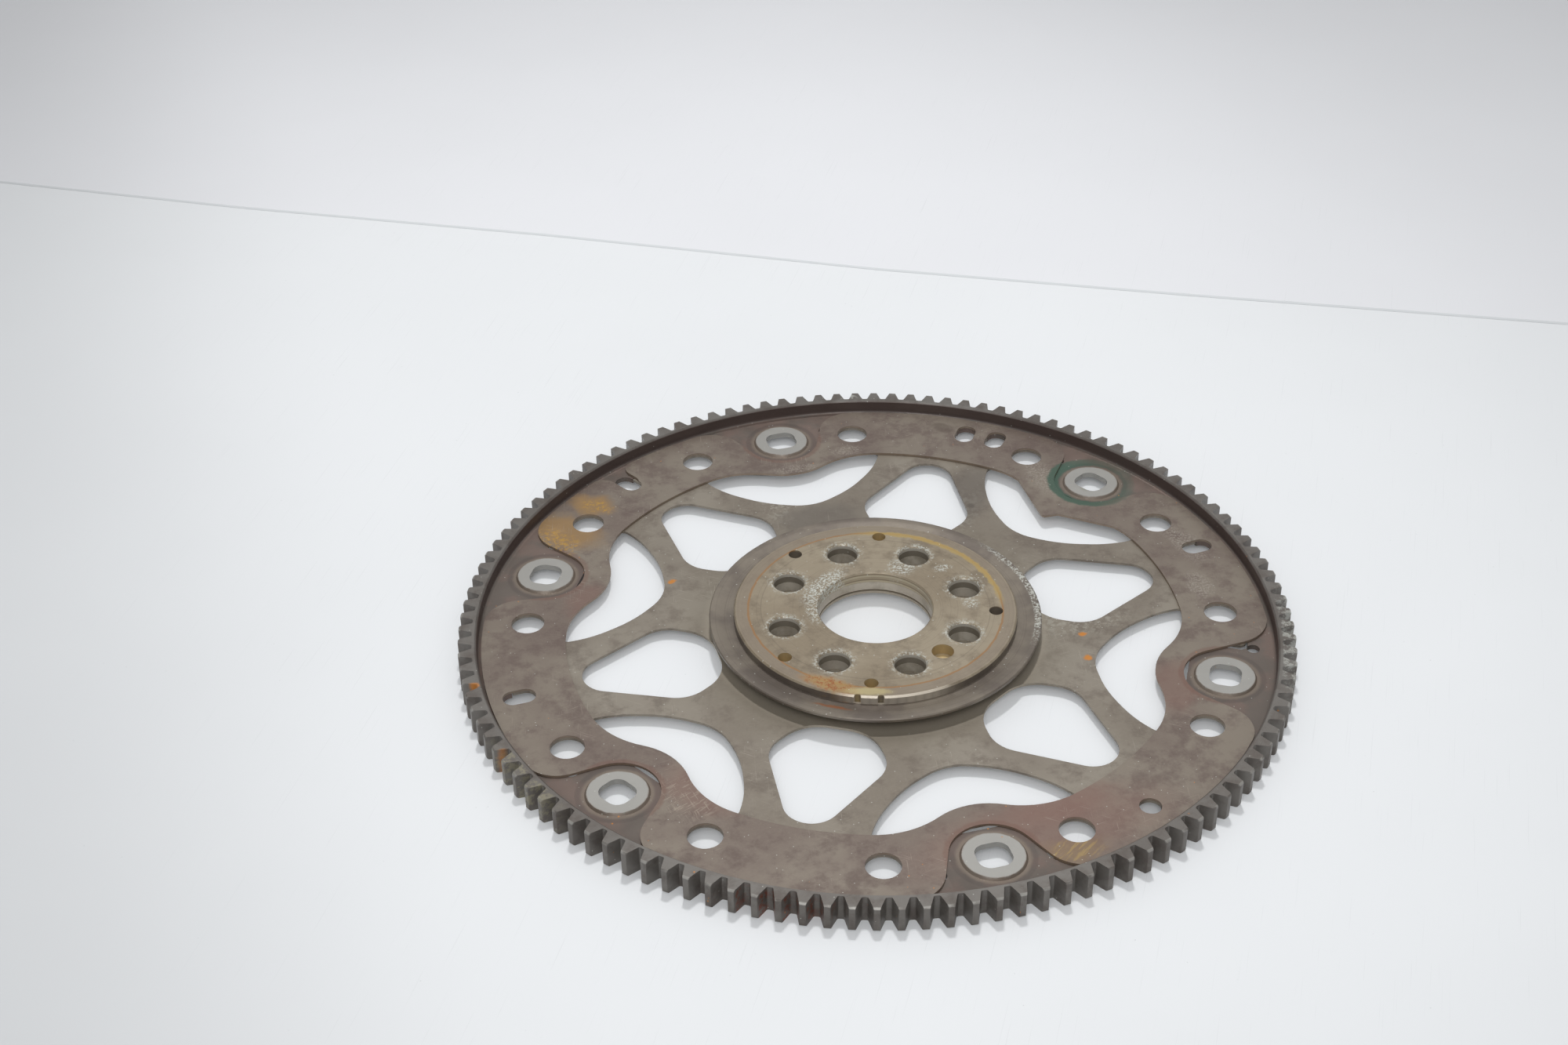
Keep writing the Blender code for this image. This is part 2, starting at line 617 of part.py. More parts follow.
def build_hub_plate(parts, cutters):
    """The stepped plate that the crankshaft bolts clamp, with its pin and dowel holes."""
    hub = turned("hub_plate", hub_profile(), turning_steps(HUB_RADIUS), 0.0, parts)
    low, high = HUB_BOTTOM - CUT_MARGIN, HUB_TOP + CUT_MARGIN
    holes = [circle(CRANK_HOLE_RADIUS, at_clock(CRANK_CIRCLE_RADIUS, c)) for c in crank_clocks()]
    holes += [circle(PIN_HOLE_RADIUS, at_clock(PIN_CIRCLE_RADIUS, c)) for c in PIN_HOLE_CLOCKS]
    holes += [circle(DOWEL_HOLE_RADIUS, at_clock(CRANK_CIRCLE_RADIUS, DOWEL_CLOCK))]
    combine(hub, solid_plate("hub_holes", holes, low, high, cutters), "DIFFERENCE")
    for i, clock in enumerate(crank_clocks()):
        sink = frustum(f"crank_chamfer_{i}", CRANK_HOLE_RADIUS - CUT_MARGIN,
                       CRANK_HOLE_RADIUS + CRANK_HOLE_CHAMFER + CUT_MARGIN,
                       HUB_TOP - CRANK_HOLE_CHAMFER - CUT_MARGIN, high,
                       at_clock(CRANK_CIRCLE_RADIUS, clock), cutters, CRANK_HOLE_RADIUS)
        combine(hub, sink, "DIFFERENCE")
    for i, clock in enumerate(BOSS_GROOVE_CLOCKS):
        groove = frustum(f"boss_groove_{i}", BOSS_GROOVE_RADIUS, BOSS_GROOVE_RADIUS, STEP_TOP, high,
                         at_clock(BOSS_RADIUS, clock), cutters)
        combine(hub, groove, "DIFFERENCE")
    finish(hub, steel("hub_steel", (0.27, 0.245, 0.215), 0.5))


def main():
    """Build the five pieces."""
    clear_scene()
    parts = new_collection("flexplate")
    cutters = new_collection("cutters")
    solid_plate("balance_slots", balance_slots(), WEB_BOTTOM - CUT_MARGIN, COVER_TOP + CUT_MARGIN,
                cutters)
    build_ring_gear(parts, cutters)
    build_cover_ring(parts, cutters)
    build_spoke_disc(parts)
    build_hub_spacer(parts, cutters)
    build_hub_plate(parts, cutters)


main()
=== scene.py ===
"""A used flexplate on a pale board, seen from the photo's place.

The CAD nodes are the frame. Each one is replaced by a skin with the same sizes, finer curves
and broken edges, and painted with rusty steel with wear on it, made from shader nodes. Some light
and shade is painted into these colours too: on walls, in holes, on the board and as highlights.
Places round the plate are clock angles: degrees clockwise from +Y, seen from above.
Shapes are in metres. Places inside the materials are in millimetres.
"""

from math import acos, asin, atan2, ceil, cos, degrees, hypot, pi, radians, sin, sqrt, tan

import bmesh
import bpy
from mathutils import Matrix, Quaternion, Vector


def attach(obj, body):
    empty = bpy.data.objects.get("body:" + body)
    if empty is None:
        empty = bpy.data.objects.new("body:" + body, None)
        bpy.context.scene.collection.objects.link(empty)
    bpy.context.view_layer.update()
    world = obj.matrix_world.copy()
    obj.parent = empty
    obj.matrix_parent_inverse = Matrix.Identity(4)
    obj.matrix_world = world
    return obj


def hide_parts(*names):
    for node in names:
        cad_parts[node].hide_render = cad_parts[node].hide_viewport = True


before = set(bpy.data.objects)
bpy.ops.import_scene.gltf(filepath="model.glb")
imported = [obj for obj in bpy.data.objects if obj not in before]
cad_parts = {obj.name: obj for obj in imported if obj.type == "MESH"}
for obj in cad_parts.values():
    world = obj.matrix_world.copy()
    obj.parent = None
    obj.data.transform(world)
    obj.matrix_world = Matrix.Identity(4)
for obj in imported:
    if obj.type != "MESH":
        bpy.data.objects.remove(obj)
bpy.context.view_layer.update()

# Curves and circles stay this close to their true form
FACET_ERROR = 0.00003
# Air left between pieces that rest on each other: in the CAD solids, and here
SEAT_GAP = 0.0003
SEAM = 0.00005
# How far a cutter runs past the metal that it cuts
CUT_MARGIN = 0.001
# The most of a side that the rounding of one corner may take up
SIDE_SHARE = 0.49
# Edges that turn by more degrees than this look sharp
SHARP_TURN = 30.0
# Width of the broken edges of the plates
EDGE_BREAK = 0.00012

# Ring gear teeth and rim
TEETH = 122
TIP_RADIUS = 0.1550
TOOTH_DEPTH = 0.0051
TOOTH_TIP_WIDTH = 0.0021
TOOTH_ROOT_GAP = 0.0021
TOOTH_ROOT_ROUND = 0.0007
TOOTH_TIP_ROUND = 0.0003
TOOTH_END_CHAMFER = 0.0005
FIRST_GAP_CLOCK = 1.06
RIM_HEIGHT = 0.0102
RIM_WALL = 0.0016
RIM_INNER_CHAMFER = 0.0007
RIM_FOOT_ROUND = 0.0015

# Web and lugs of the ring gear
WEB_THICKNESS = 0.0020
WEB_RING_WIDTH = 0.0103
LUGS = 6
LUG_INSET = 0.0181
TAB_REACH = 0.0136
TAB_HALF_WIDTH = 0.0175
TAB_END_ROUND = 0.0110
TAB_CORNER = 0.0030
PAD_RADIUS = 0.0107
PAD_FOOT_RADIUS = 0.0114
PAD_SINK = 0.0001
PAD_PRESSING_DEPTH = 0.0007
PAD_PRESSING_INSET = 0.0016
SLOT_WIDTH = 0.0121
SLOT_HEIGHT = 0.0115
SLOT_CORNER = 0.0042
WEB_HOLE_RADIUS = 0.0024
WEB_HOLE_INSET = 0.0084
WEB_HOLE_CLOCK = 112.2

# Cover ring. A scallop side is the radius of its lobe and its lean in degrees.
COVER_DROP = 0.0049
COVER_THICKNESS = 0.0007
COVER_EDGE_GAP = 0.0015
COVER_LAP = 0.0146
SCALLOP_RADIUS = 0.0150
SCALLOP_SIDE = (0.0135, 23.0)
SCALLOP_WIDE_SIDE = (0.0160, 34.0)
SCALLOP_WIDE_CLOCK = 120.0
BULGE_RADIUS = 0.0252
BULGE_BLEND = 0.0320
# The nose: a point, a valley beside it and two shoulders, as (x, height) on the bulge
NOSE_CLOCK = 60.0
NOSE_POINT = (0.0012, -0.0075)
NOSE_VALLEY = (0.0046, -0.0020)
NOSE_SHOULDERS = ((-0.0225, 0.0061), (0.0245, 0.0058))
NOSE_TIP_ROUND = 0.0016
NOSE_VALLEY_ROUND = 0.0030
NOTCH_CLOCK = 330.0
NOTCH_WIDTH = 0.0088
NOTCH_DEPTH = 0.0144
NOTCH_MOUTH_ROUND = 0.0060

# Holes through the cover ring and the spoke disc
RIM_HOLE_RADIUS = 0.0062
RIM_HOLE_CLOCKS = (13.3, 46.3, 76.3, 103.3)
RIM_HOLE_REPEATS = 3

# Slots drilled through all three plates to balance the part
BALANCE_WIDTH = 0.0078
BALANCE_LENGTH = 0.0121
BALANCE_INSET = 0.0020
BALANCE_CLOCKS = (33.7, 39.2, 85.2, 267.7, 329.8)
BALANCE_HOLE_CLOCK = 154.3

# Spoke disc
SPOKE_THICKNESS = 0.0010
TAB_CLEARANCE = 0.0022
WINDOW_TURN = -0.3
KIDNEY_OUTSIDE_HUB = 0.0210
FAN_UNDER_HUB = 0.0010
FAN_MARGIN = 0.0020
# Corners of half a window: degrees off its middle, share of its depth, rounding
FAN_CORNERS = (
    (11.66, 0.0180, 0.0160),
    (16.20, 0.3710, 0.0130),
    (0.00, 1.2220, 0.0100),
)
KIDNEY_CORNERS = (
    (0.00, -0.0500, 0.0200),
    (11.38, 0.2300, 0.0500),
    (17.57, 0.7100, 0.0440),
    (19.06, 1.1650, 0.0038),
    (10.57, 0.9690, 0.0200),
    (0.00, 0.6960, 0.0240),
)

# Hub plate and spacer
BORE_RADIUS = 0.0214
BOSS_OUTSIDE_CRANK = 0.0170
LEDGE_WIDTH = 0.0092
HUB_THICKNESS = 0.0043
STEP_HEIGHT = 0.0011
LIP_RISE = 0.0006
LIP_WIDTH = 0.0036
LIP_SLOPE = 0.0018
HUB_EDGE_ROUND = 0.0004
BOSS_CHAMFER = 0.0006
BORE_CHAMFER = 0.0004
SPACER_THICKNESS = 0.0037
SPACER_UNDER_BOSS = 0.0008
SPACER_CHAMFER = 0.0008
CRANK_HOLES = 8
CRANK_OUTSIDE_BORE = 0.0144
CRANK_HOLE_RADIUS = 0.0058
CRANK_HOLE_CHAMFER = 0.0006
CRANK_HOLE_STEP = 0.0004
CRANK_FIRST_CLOCK = 41.8
PINS_OUTSIDE_CRANK = 0.0091
PIN_HOLE_RADIUS = 0.0026
PIN_HOLE_CLOCKS = (19.3, 109.3, 199.3, 244.3, 334.3)
DOWEL_HOLE_RADIUS = 0.0041
DOWEL_CLOCK = 154.3
BOSS_GROOVE_CLOCKS = (195.3, 204.4)
BOSS_GROOVE_RADIUS = 0.0013

# Sizes that follow from those above
ROOT_RADIUS = TIP_RADIUS - TOOTH_DEPTH
RIM_INNER_RADIUS = ROOT_RADIUS - RIM_WALL
COVER_OUTER_RADIUS = RIM_INNER_RADIUS - COVER_EDGE_GAP
LUG_CIRCLE_RADIUS = RIM_INNER_RADIUS - LUG_INSET
COVER_INNER_RADIUS = LUG_CIRCLE_RADIUS - COVER_LAP
WEB_EDGE_RADIUS = RIM_INNER_RADIUS - WEB_RING_WIDTH
SPOKE_OUTER_RADIUS = WEB_EDGE_RADIUS - SEAT_GAP
CRANK_CIRCLE_RADIUS = BORE_RADIUS + CRANK_OUTSIDE_BORE
BOSS_RADIUS = CRANK_CIRCLE_RADIUS + BOSS_OUTSIDE_CRANK
HUB_RADIUS = BOSS_RADIUS + LEDGE_WIDTH
SPACER_RADIUS = BOSS_RADIUS - SPACER_UNDER_BOSS
PIN_CIRCLE_RADIUS = CRANK_CIRCLE_RADIUS + PINS_OUTSIDE_CRANK
COVER_TOP = RIM_HEIGHT - COVER_DROP
SPOKE_TOP = COVER_TOP - COVER_THICKNESS - SEAT_GAP
COVER_BOTTOM = SPOKE_TOP + SEAM
SPOKE_BOTTOM = SPOKE_TOP - SPOKE_THICKNESS
WEB_BOTTOM = SPOKE_TOP - WEB_THICKNESS
PAD_TOP = COVER_TOP - PAD_SINK
HUB_BOTTOM = SPOKE_TOP + SPACER_THICKNESS + 2 * SEAT_GAP
SPACER_BOTTOM = SPOKE_TOP + SEAM
SPACER_TOP = HUB_BOTTOM - SEAM
HUB_TOP = HUB_BOTTOM + HUB_THICKNESS
STEP_TOP = HUB_BOTTOM + STEP_HEIGHT
LUG_PITCH = 360.0 / LUGS
CRANK_PITCH = 360.0 / CRANK_HOLES

# The camera, from the fit to the photo
CAMERA_PLACE = (-0.21255, -0.64868, 0.53249)
CAMERA_AHEAD = (0.21588, 0.78827, -0.57621)
CAMERA_LEAN = -0.627
LENS = 52.778
SENSOR = 36.0

# The light: strength of the sky at the horizon and overhead, and two lamps
SKY_LOW = 0.33
SKY_HIGH = 0.66
KEY_DIRECTION = (0.090, 0.330, 0.940)
KEY_POWER = 22.0
FILL_DIRECTION = (-0.25, -0.65, 0.72)
FILL_POWER = 24.0

# The board under the part: its joint with the board behind, in metres
JOINT_LINE = (
    (-2.50, 1.61), (-0.3166, 0.4849), (-0.2029, 0.4219), (-0.0576, 0.3473),
    (0.0848, 0.2695), (0.2124, 0.2063), (0.3716, 0.1303), (2.50, -0.90),
)
JOINT_WIDTH = 0.0022
# How much of the board's own colour fills its shadows, for the camera and reflections only
BOARD_GLOW = 0.17
BOARD_REACH = 2.5


# Outlines

def turned_to(points, clock):
    """Turn points drawn about the +Y direction to a clock angle."""
    angle = radians(-clock)
    return [(x * cos(angle) - y * sin(angle), x * sin(angle) + y * cos(angle)) for x, y in points]


def at_clock(radius, clock):
    """The point at a radius and a clock angle."""
    return turned_to([(0.0, radius)], clock)[0]


def arc(centre, radius, start, end):
    """Points of an arc from one angle to another, in degrees, both ends included."""
    if radius < FACET_ERROR:
        return [centre]
    step = degrees(2 * acos(1 - FACET_ERROR / radius))
    count = max(1, ceil(abs(end - start) / step))
    angles = [radians(start + (end - start) * i / count) for i in range(count + 1)]
    return [(centre[0] + radius * cos(a), centre[1] + radius * sin(a)) for a in angles]


def circle(radius, centre=(0.0, 0.0)):
    """Points once round a circle."""
    return arc(centre, radius, 0.0, 360.0)[:-1]


def mirrored(points):
    """The same points across the Y axis, in reverse order."""
    return [(-x, y) for x, y in reversed(points)]


def corner_arc(before, corner, after, radius):
    """Round one corner, with no more radius than its two sides leave room for."""
    ax, ay = before[0] - corner[0], before[1] - corner[1]
    bx, by = after[0] - corner[0], after[1] - corner[1]
    a_length, b_length = hypot(ax, ay), hypot(bx, by)
    ax, ay, bx, by = ax / a_length, ay / a_length, bx / b_length, by / b_length
    half = acos(max(-1.0, min(1.0, ax * bx + ay * by))) / 2
    reach = min(radius / tan(half), SIDE_SHARE * a_length, SIDE_SHARE * b_length)
    radius = reach * tan(half)
    middle = hypot(ax + bx, ay + by)
    away = radius / sin(half)
    centre = (corner[0] + (ax + bx) / middle * away, corner[1] + (ay + by) / middle * away)
    start = degrees(atan2(corner[1] + ay * reach - centre[1], corner[0] + ax * reach - centre[0]))
    end = degrees(atan2(corner[1] + by * reach - centre[1], corner[0] + bx * reach - centre[0]))
    turn = (end - start + 180.0) % 360.0 - 180.0
    return arc(centre, radius, start, start + turn)


def rounded(corners):
    """A closed outline through corners given as (x, y, rounding)."""
    points = []
    for i, (x, y, radius) in enumerate(corners):
        before, after = corners[i - 1], corners[(i + 1) % len(corners)]
        points += corner_arc(before, (x, y), after, radius) if radius else [(x, y)]
    return points


def rounded_box(width, height, radius, centre=(0.0, 0.0)):
    """A rectangle with round corners."""
    x, y = width / 2, height / 2
    corners = ((-x, -y), (x, -y), (x, y), (-x, y))
    return rounded([(centre[0] + cx, centre[1] + cy, radius) for cx, cy in corners])


def dent_side(edge_radius, dent_radius, side):
    """Right half of a dent about the lug at +Y: the dent's arc, its flank and its lobe."""
    lobe_radius, flare = side
    lean = radians(flare)
    along, across = (sin(lean), cos(lean)), (cos(lean), -sin(lean))
    start = (dent_radius * across[0], LUG_CIRCLE_RADIUS + dent_radius * across[1])
    px, py = start[0] + lobe_radius * across[0], start[1] + lobe_radius * across[1]
    ahead = px * along[0] + py * along[1]
    run = sqrt(ahead ** 2 - px ** 2 - py ** 2 + (edge_radius - lobe_radius) ** 2) - ahead
    lobe = (px + run * along[0], py + run * along[1])
    bottom = arc((0.0, LUG_CIRCLE_RADIUS), dent_radius, 270.0, 360.0 - flare)
    return bottom + arc(lobe, lobe_radius, 180.0 - flare, degrees(atan2(lobe[1], lobe[0])))


def dented_circle(edge_radius, dent_radius, left_sides, right_side):
    """A circle with a round dent about each lug; every dent has its own left side."""
    right = dent_side(edge_radius, dent_radius, right_side)
    points = []
    for lug in range(LUGS):
        path = mirrored(dent_side(edge_radius, dent_radius, left_sides[lug])) + right[1:]
        next_left = dent_side(edge_radius, dent_radius, left_sides[(lug + 1) % LUGS])
        start = degrees(atan2(path[-1][1], path[-1][0]))
        end = 180.0 - degrees(atan2(next_left[-1][1], next_left[-1][0])) - LUG_PITCH
        path += arc((0.0, 0.0), edge_radius, start, end)[1:-1]
        points += turned_to(path, lug * LUG_PITCH)
    return points


def bulge_side():
    """Right half of the cover ring's inner edge where it swells round the lug at +Y."""
    centre_radius = COVER_INNER_RADIUS - BULGE_BLEND
    reach = BULGE_RADIUS + BULGE_BLEND
    swing = acos((centre_radius ** 2 + LUG_CIRCLE_RADIUS ** 2 - reach ** 2)
                 / (2 * centre_radius * LUG_CIRCLE_RADIUS))
    blend = (centre_radius * sin(swing), centre_radius * cos(swing))
    down = degrees(atan2(blend[1] - LUG_CIRCLE_RADIUS, blend[0]))
    bulge = arc((0.0, LUG_CIRCLE_RADIUS), BULGE_RADIUS, -90.0, down)
    return bulge, arc(blend, BULGE_BLEND, down + 180.0, 90.0 - degrees(swing))


def nose():
    """The pointed nose on the cover ring's inner edge, from the left blend to the right."""
    crest = LUG_CIRCLE_RADIUS - BULGE_RADIUS
    corners = (NOSE_SHOULDERS[0], NOSE_POINT, NOSE_VALLEY, NOSE_SHOULDERS[1])
    left, point, valley, right = [(x, crest + height) for x, height in corners]
    path = corner_arc(left, point, valley, NOSE_TIP_ROUND)
    return [left] + path + corner_arc(point, valley, right, NOSE_VALLEY_ROUND) + [right]


def cover_inner_edge():
    """The cover ring's inner outline, with its bulges and its nose."""
    bulge, blend = bulge_side()
    points = []
    for lug in range(LUGS):
        path = mirrored(blend) + mirrored(bulge)[1:] + bulge[1:] + blend[1:]
        if lug * LUG_PITCH == NOSE_CLOCK:
            tongue = nose()
            path = [p for p in path if p[0] < tongue[0][0] or p[0] > tongue[-1][0]]
            before = [p for p in path if p[0] < 0]
            path = before + tongue + [p for p in path if p[0] > 0]
        start = degrees(atan2(blend[-1][1], blend[-1][0]))
        path += arc((0.0, 0.0), COVER_INNER_RADIUS, start, 180.0 - start - LUG_PITCH)[1:-1]
        points += turned_to(path, lug * LUG_PITCH)
    return points


def cover_outer_edge():
    """The cover ring's outer outline; one scallop side leans out to clear a hole in the web."""
    wide = [lug * LUG_PITCH == SCALLOP_WIDE_CLOCK for lug in range(LUGS)]
    left_sides = [SCALLOP_WIDE_SIDE if here else SCALLOP_SIDE for here in wide]
    return dented_circle(COVER_OUTER_RADIUS, SCALLOP_RADIUS, left_sides, SCALLOP_SIDE)


def tabbed_circle(edge_radius, clearance):
    """A circle with a blunt tab reaching in at each lug, or the outline that clears the tabs."""
    half = TAB_HALF_WIDTH + clearance
    end = LUG_CIRCLE_RADIUS - TAB_REACH - clearance
    side = sqrt(edge_radius ** 2 - half ** 2)
    turn = ceil(degrees(asin((half + 2 * TAB_CORNER) / edge_radius)))
    tab = (
        (-half, side, TAB_CORNER),
        (-half, end, TAB_END_ROUND),
        (half, end, TAB_END_ROUND),
        (half, side, TAB_CORNER),
    )
    corners = []
    for lug in range(LUGS):
        points = turned_to([(x, y) for x, y, _ in tab], lug * LUG_PITCH)
        corners += [(*point, radius) for point, (_, _, radius) in zip(points, tab)]
        clocks = range(turn, int(LUG_PITCH) - turn + 1)
        corners += [(*at_clock(edge_radius, lug * LUG_PITCH + c), 0.0) for c in clocks]
    return rounded(corners)


def web_inner_edge():
    """The web's inner outline, with the six tabs."""
    return tabbed_circle(WEB_EDGE_RADIUS, 0.0)


def spoke_outer_edge():
    """The spoke disc's outer outline, which clears the tabs."""
    return tabbed_circle(SPOKE_OUTER_RADIUS, TAB_CLEARANCE)


def window(corners, root_end, tip_end):
    """A window about +Y between two radii, from the corners of its right half."""
    depth = tip_end - root_end
    half = [(*at_clock(root_end + share * depth, clock), r) for clock, share, r in corners]
    other = [(-x, y, r) for x, y, r in reversed(half) if x > 0]
    return rounded(half + other)


def windows():
    """Outlines of all windows: kidneys below the lugs, and fans in the spokes between."""
    kidney = window(KIDNEY_CORNERS, HUB_RADIUS + KIDNEY_OUTSIDE_HUB, COVER_INNER_RADIUS)
    fan = window(FAN_CORNERS, HUB_RADIUS - FAN_UNDER_HUB, COVER_INNER_RADIUS - FAN_MARGIN)
    clocks = [WINDOW_TURN + LUG_PITCH * i for i in range(LUGS)]
    fans = [turned_to(fan, clock + LUG_PITCH / 2) for clock in clocks]
    return [turned_to(kidney, clock) for clock in clocks] + fans


def rim_holes():
    """Outlines of the round holes near the rim, on the lug circle."""
    turn = 360.0 / RIM_HOLE_REPEATS
    clocks = [clock + turn * i for i in range(RIM_HOLE_REPEATS) for clock in RIM_HOLE_CLOCKS]
    return [circle(RIM_HOLE_RADIUS, at_clock(LUG_CIRCLE_RADIUS, c)) for c in clocks]


def crank_clocks():
    """Clock angles of the crankshaft bolt holes."""
    return [CRANK_FIRST_CLOCK + CRANK_PITCH * i for i in range(CRANK_HOLES)]


def crank_holes(radius):
    """Outlines of the crankshaft bolt holes at one radius of hole."""
    return [circle(radius, at_clock(CRANK_CIRCLE_RADIUS, c)) for c in crank_clocks()]


def balance_slots():
    """Outlines of the balancing slots and the one balancing hole."""
    centre = (0.0, WEB_EDGE_RADIUS - BALANCE_INSET)
    slot = rounded_box(BALANCE_WIDTH, BALANCE_LENGTH, BALANCE_WIDTH / 2, centre)
    hole = circle(BALANCE_WIDTH / 2, centre)
    return [turned_to(slot, c) for c in BALANCE_CLOCKS] + [turned_to(hole, BALANCE_HOLE_CLOCK)]


def tooth_gap():
    """Outline of the space between two teeth about +Y, with a round root and round tips."""
    pitch = 2 * pi * TIP_RADIUS / TEETH
    mouth = (pitch - TOOTH_TIP_WIDTH) / 2
    root = TOOTH_ROOT_GAP / 2
    wide = mouth + 2 * TOOTH_TIP_ROUND
    outside = TIP_RADIUS + CUT_MARGIN
    return rounded([
        (-wide, outside, 0.0),
        (-wide, TIP_RADIUS, 0.0),
        (-mouth, TIP_RADIUS, TOOTH_TIP_ROUND),
        (-root, ROOT_RADIUS, TOOTH_ROOT_ROUND),
        (root, ROOT_RADIUS, TOOTH_ROOT_ROUND),
        (mouth, TIP_RADIUS, TOOTH_TIP_ROUND),
        (wide, TIP_RADIUS, 0.0),
        (wide, outside, 0.0),
    ])


# Solids

def solid_plate(name, loops, bottom, top):
    """A flat plate as a closed mesh, from closed outlines."""
    curve = bpy.data.curves.new(name, "CURVE")
    curve.dimensions = "2D"
    curve.fill_mode = "BOTH"
    curve.extrude = (top - bottom) / 2
    for loop in loops:
        spline = curve.splines.new("POLY")
        spline.points.add(len(loop) - 1)
        for point, (x, y) in zip(spline.points, loop):
            point.co = (x, y, 0.0, 1.0)
        spline.use_cyclic_u = True
    flat = bpy.data.objects.new(name, curve)
    bpy.context.scene.collection.objects.link(flat)
    bpy.context.view_layer.update()
    mesh = bpy.data.meshes.new_from_object(flat.evaluated_get(bpy.context.evaluated_depsgraph_get()))
    bpy.data.objects.remove(flat, do_unlink=True)
    bpy.data.curves.remove(curve)
    shape = bmesh.new()
    shape.from_mesh(mesh)
    bmesh.ops.remove_doubles(shape, verts=shape.verts, dist=0.000001)
    bmesh.ops.translate(shape, verts=shape.verts, vec=(0.0, 0.0, (bottom + top) / 2))
    bmesh.ops.recalc_face_normals(shape, faces=shape.faces)
    shape.to_mesh(mesh)
    shape.free()
    return shown(name, mesh)


def shown(name, mesh):
    """An object for a mesh, linked to the scene."""
    item = bpy.data.objects.new(name, mesh)
    bpy.context.scene.collection.objects.link(item)
    return item


def turned(name, profile, steps, first_clock):
    """A turned piece: a closed profile of (radius, height) swept once round the axis."""
    shape = bmesh.new()
    rings = []
    for i in range(steps):
        clock = first_clock + 360.0 * i / steps
        ring = [shape.verts.new((*at_clock(radius, clock), height)) for radius, height in profile]
        rings.append(ring)
    for i, ring in enumerate(rings):
        after = rings[(i + 1) % steps]
        for j in range(len(profile)):
            k = (j + 1) % len(profile)
            shape.faces.new((ring[j], after[j], after[k], ring[k]))
    bmesh.ops.recalc_face_normals(shape, faces=shape.faces)
    mesh = bpy.data.meshes.new(name)
    shape.to_mesh(mesh)
    shape.free()
    return shown(name, mesh)


def turning_steps(radius):
    """How many facets a turned piece of this radius needs."""
    return ceil(pi / acos(1 - FACET_ERROR / radius))


def frustum(name, low_radius, high_radius, bottom, top, place):
    """A round peg or cutter, straight or tapered."""
    shape = bmesh.new()
    bmesh.ops.create_cone(shape, cap_ends=True, segments=turning_steps(max(low_radius, high_radius)),
                          radius1=low_radius, radius2=high_radius, depth=top - bottom)
    bmesh.ops.translate(shape, verts=shape.verts, vec=(place[0], place[1], (bottom + top) / 2))
    mesh = bpy.data.meshes.new(name)
    shape.to_mesh(mesh)
    shape.free()
    return shown(name, mesh)


def combine(item, helper, operation):
    """Cut a helper from a piece, or join it on."""
    helper.hide_render = True
    boolean = item.modifiers.new(helper.name, "BOOLEAN")
    boolean.operation = operation
    boolean.solver = "EXACT"
    boolean.object = helper


def settle(item, edge_break):
    """Fix a piece's cuts and joins into its mesh, break its edges and shade it smooth."""
    if edge_break:
        bevel = item.modifiers.new("edges", "BEVEL")
        bevel.width = edge_break
        bevel.segments = 1
        bevel.limit_method = "ANGLE"
        bevel.angle_limit = radians(50.0)
        bevel.use_clamp_overlap = True
    bpy.context.view_layer.update()
    seen = item.evaluated_get(bpy.context.evaluated_depsgraph_get())
    mesh = bpy.data.meshes.new_from_object(seen)
    helpers = [m.object for m in item.modifiers if m.type == "BOOLEAN"]
    item.modifiers.clear()
    item.data = mesh
    mesh.name = item.name
    mesh.shade_smooth()
    mesh.set_sharp_from_angle(angle=radians(SHARP_TURN))
    return helpers


def clear_helpers(helpers):
    """Remove the cutters once no piece needs them."""
    for helper in set(helpers):
        bpy.data.objects.remove(helper, do_unlink=True)


# The five skins

def gear_profile():
    """Half section of the ring gear's blank, from the rim's top outer edge and down."""
    facet = cos(pi / TEETH)
    tip, inner = TIP_RADIUS / facet, RIM_INNER_RADIUS
    web_end = LUG_CIRCLE_RADIUS - TAB_REACH - CUT_MARGIN
    foot = arc((inner - RIM_FOOT_ROUND, SPOKE_TOP + RIM_FOOT_ROUND), RIM_FOOT_ROUND, 270.0, 360.0)
    return [
        (tip - TOOTH_END_CHAMFER, RIM_HEIGHT),
        (tip, RIM_HEIGHT - TOOTH_END_CHAMFER),
        (tip, TOOTH_END_CHAMFER),
        (tip - TOOTH_END_CHAMFER, 0.0),
        (inner, 0.0),
        (inner, WEB_BOTTOM),
        (web_end, WEB_BOTTOM),
        (web_end, SPOKE_TOP),
        *foot,
        (inner, RIM_HEIGHT - RIM_INNER_CHAMFER),
        (inner + RIM_INNER_CHAMFER, RIM_HEIGHT),
    ]


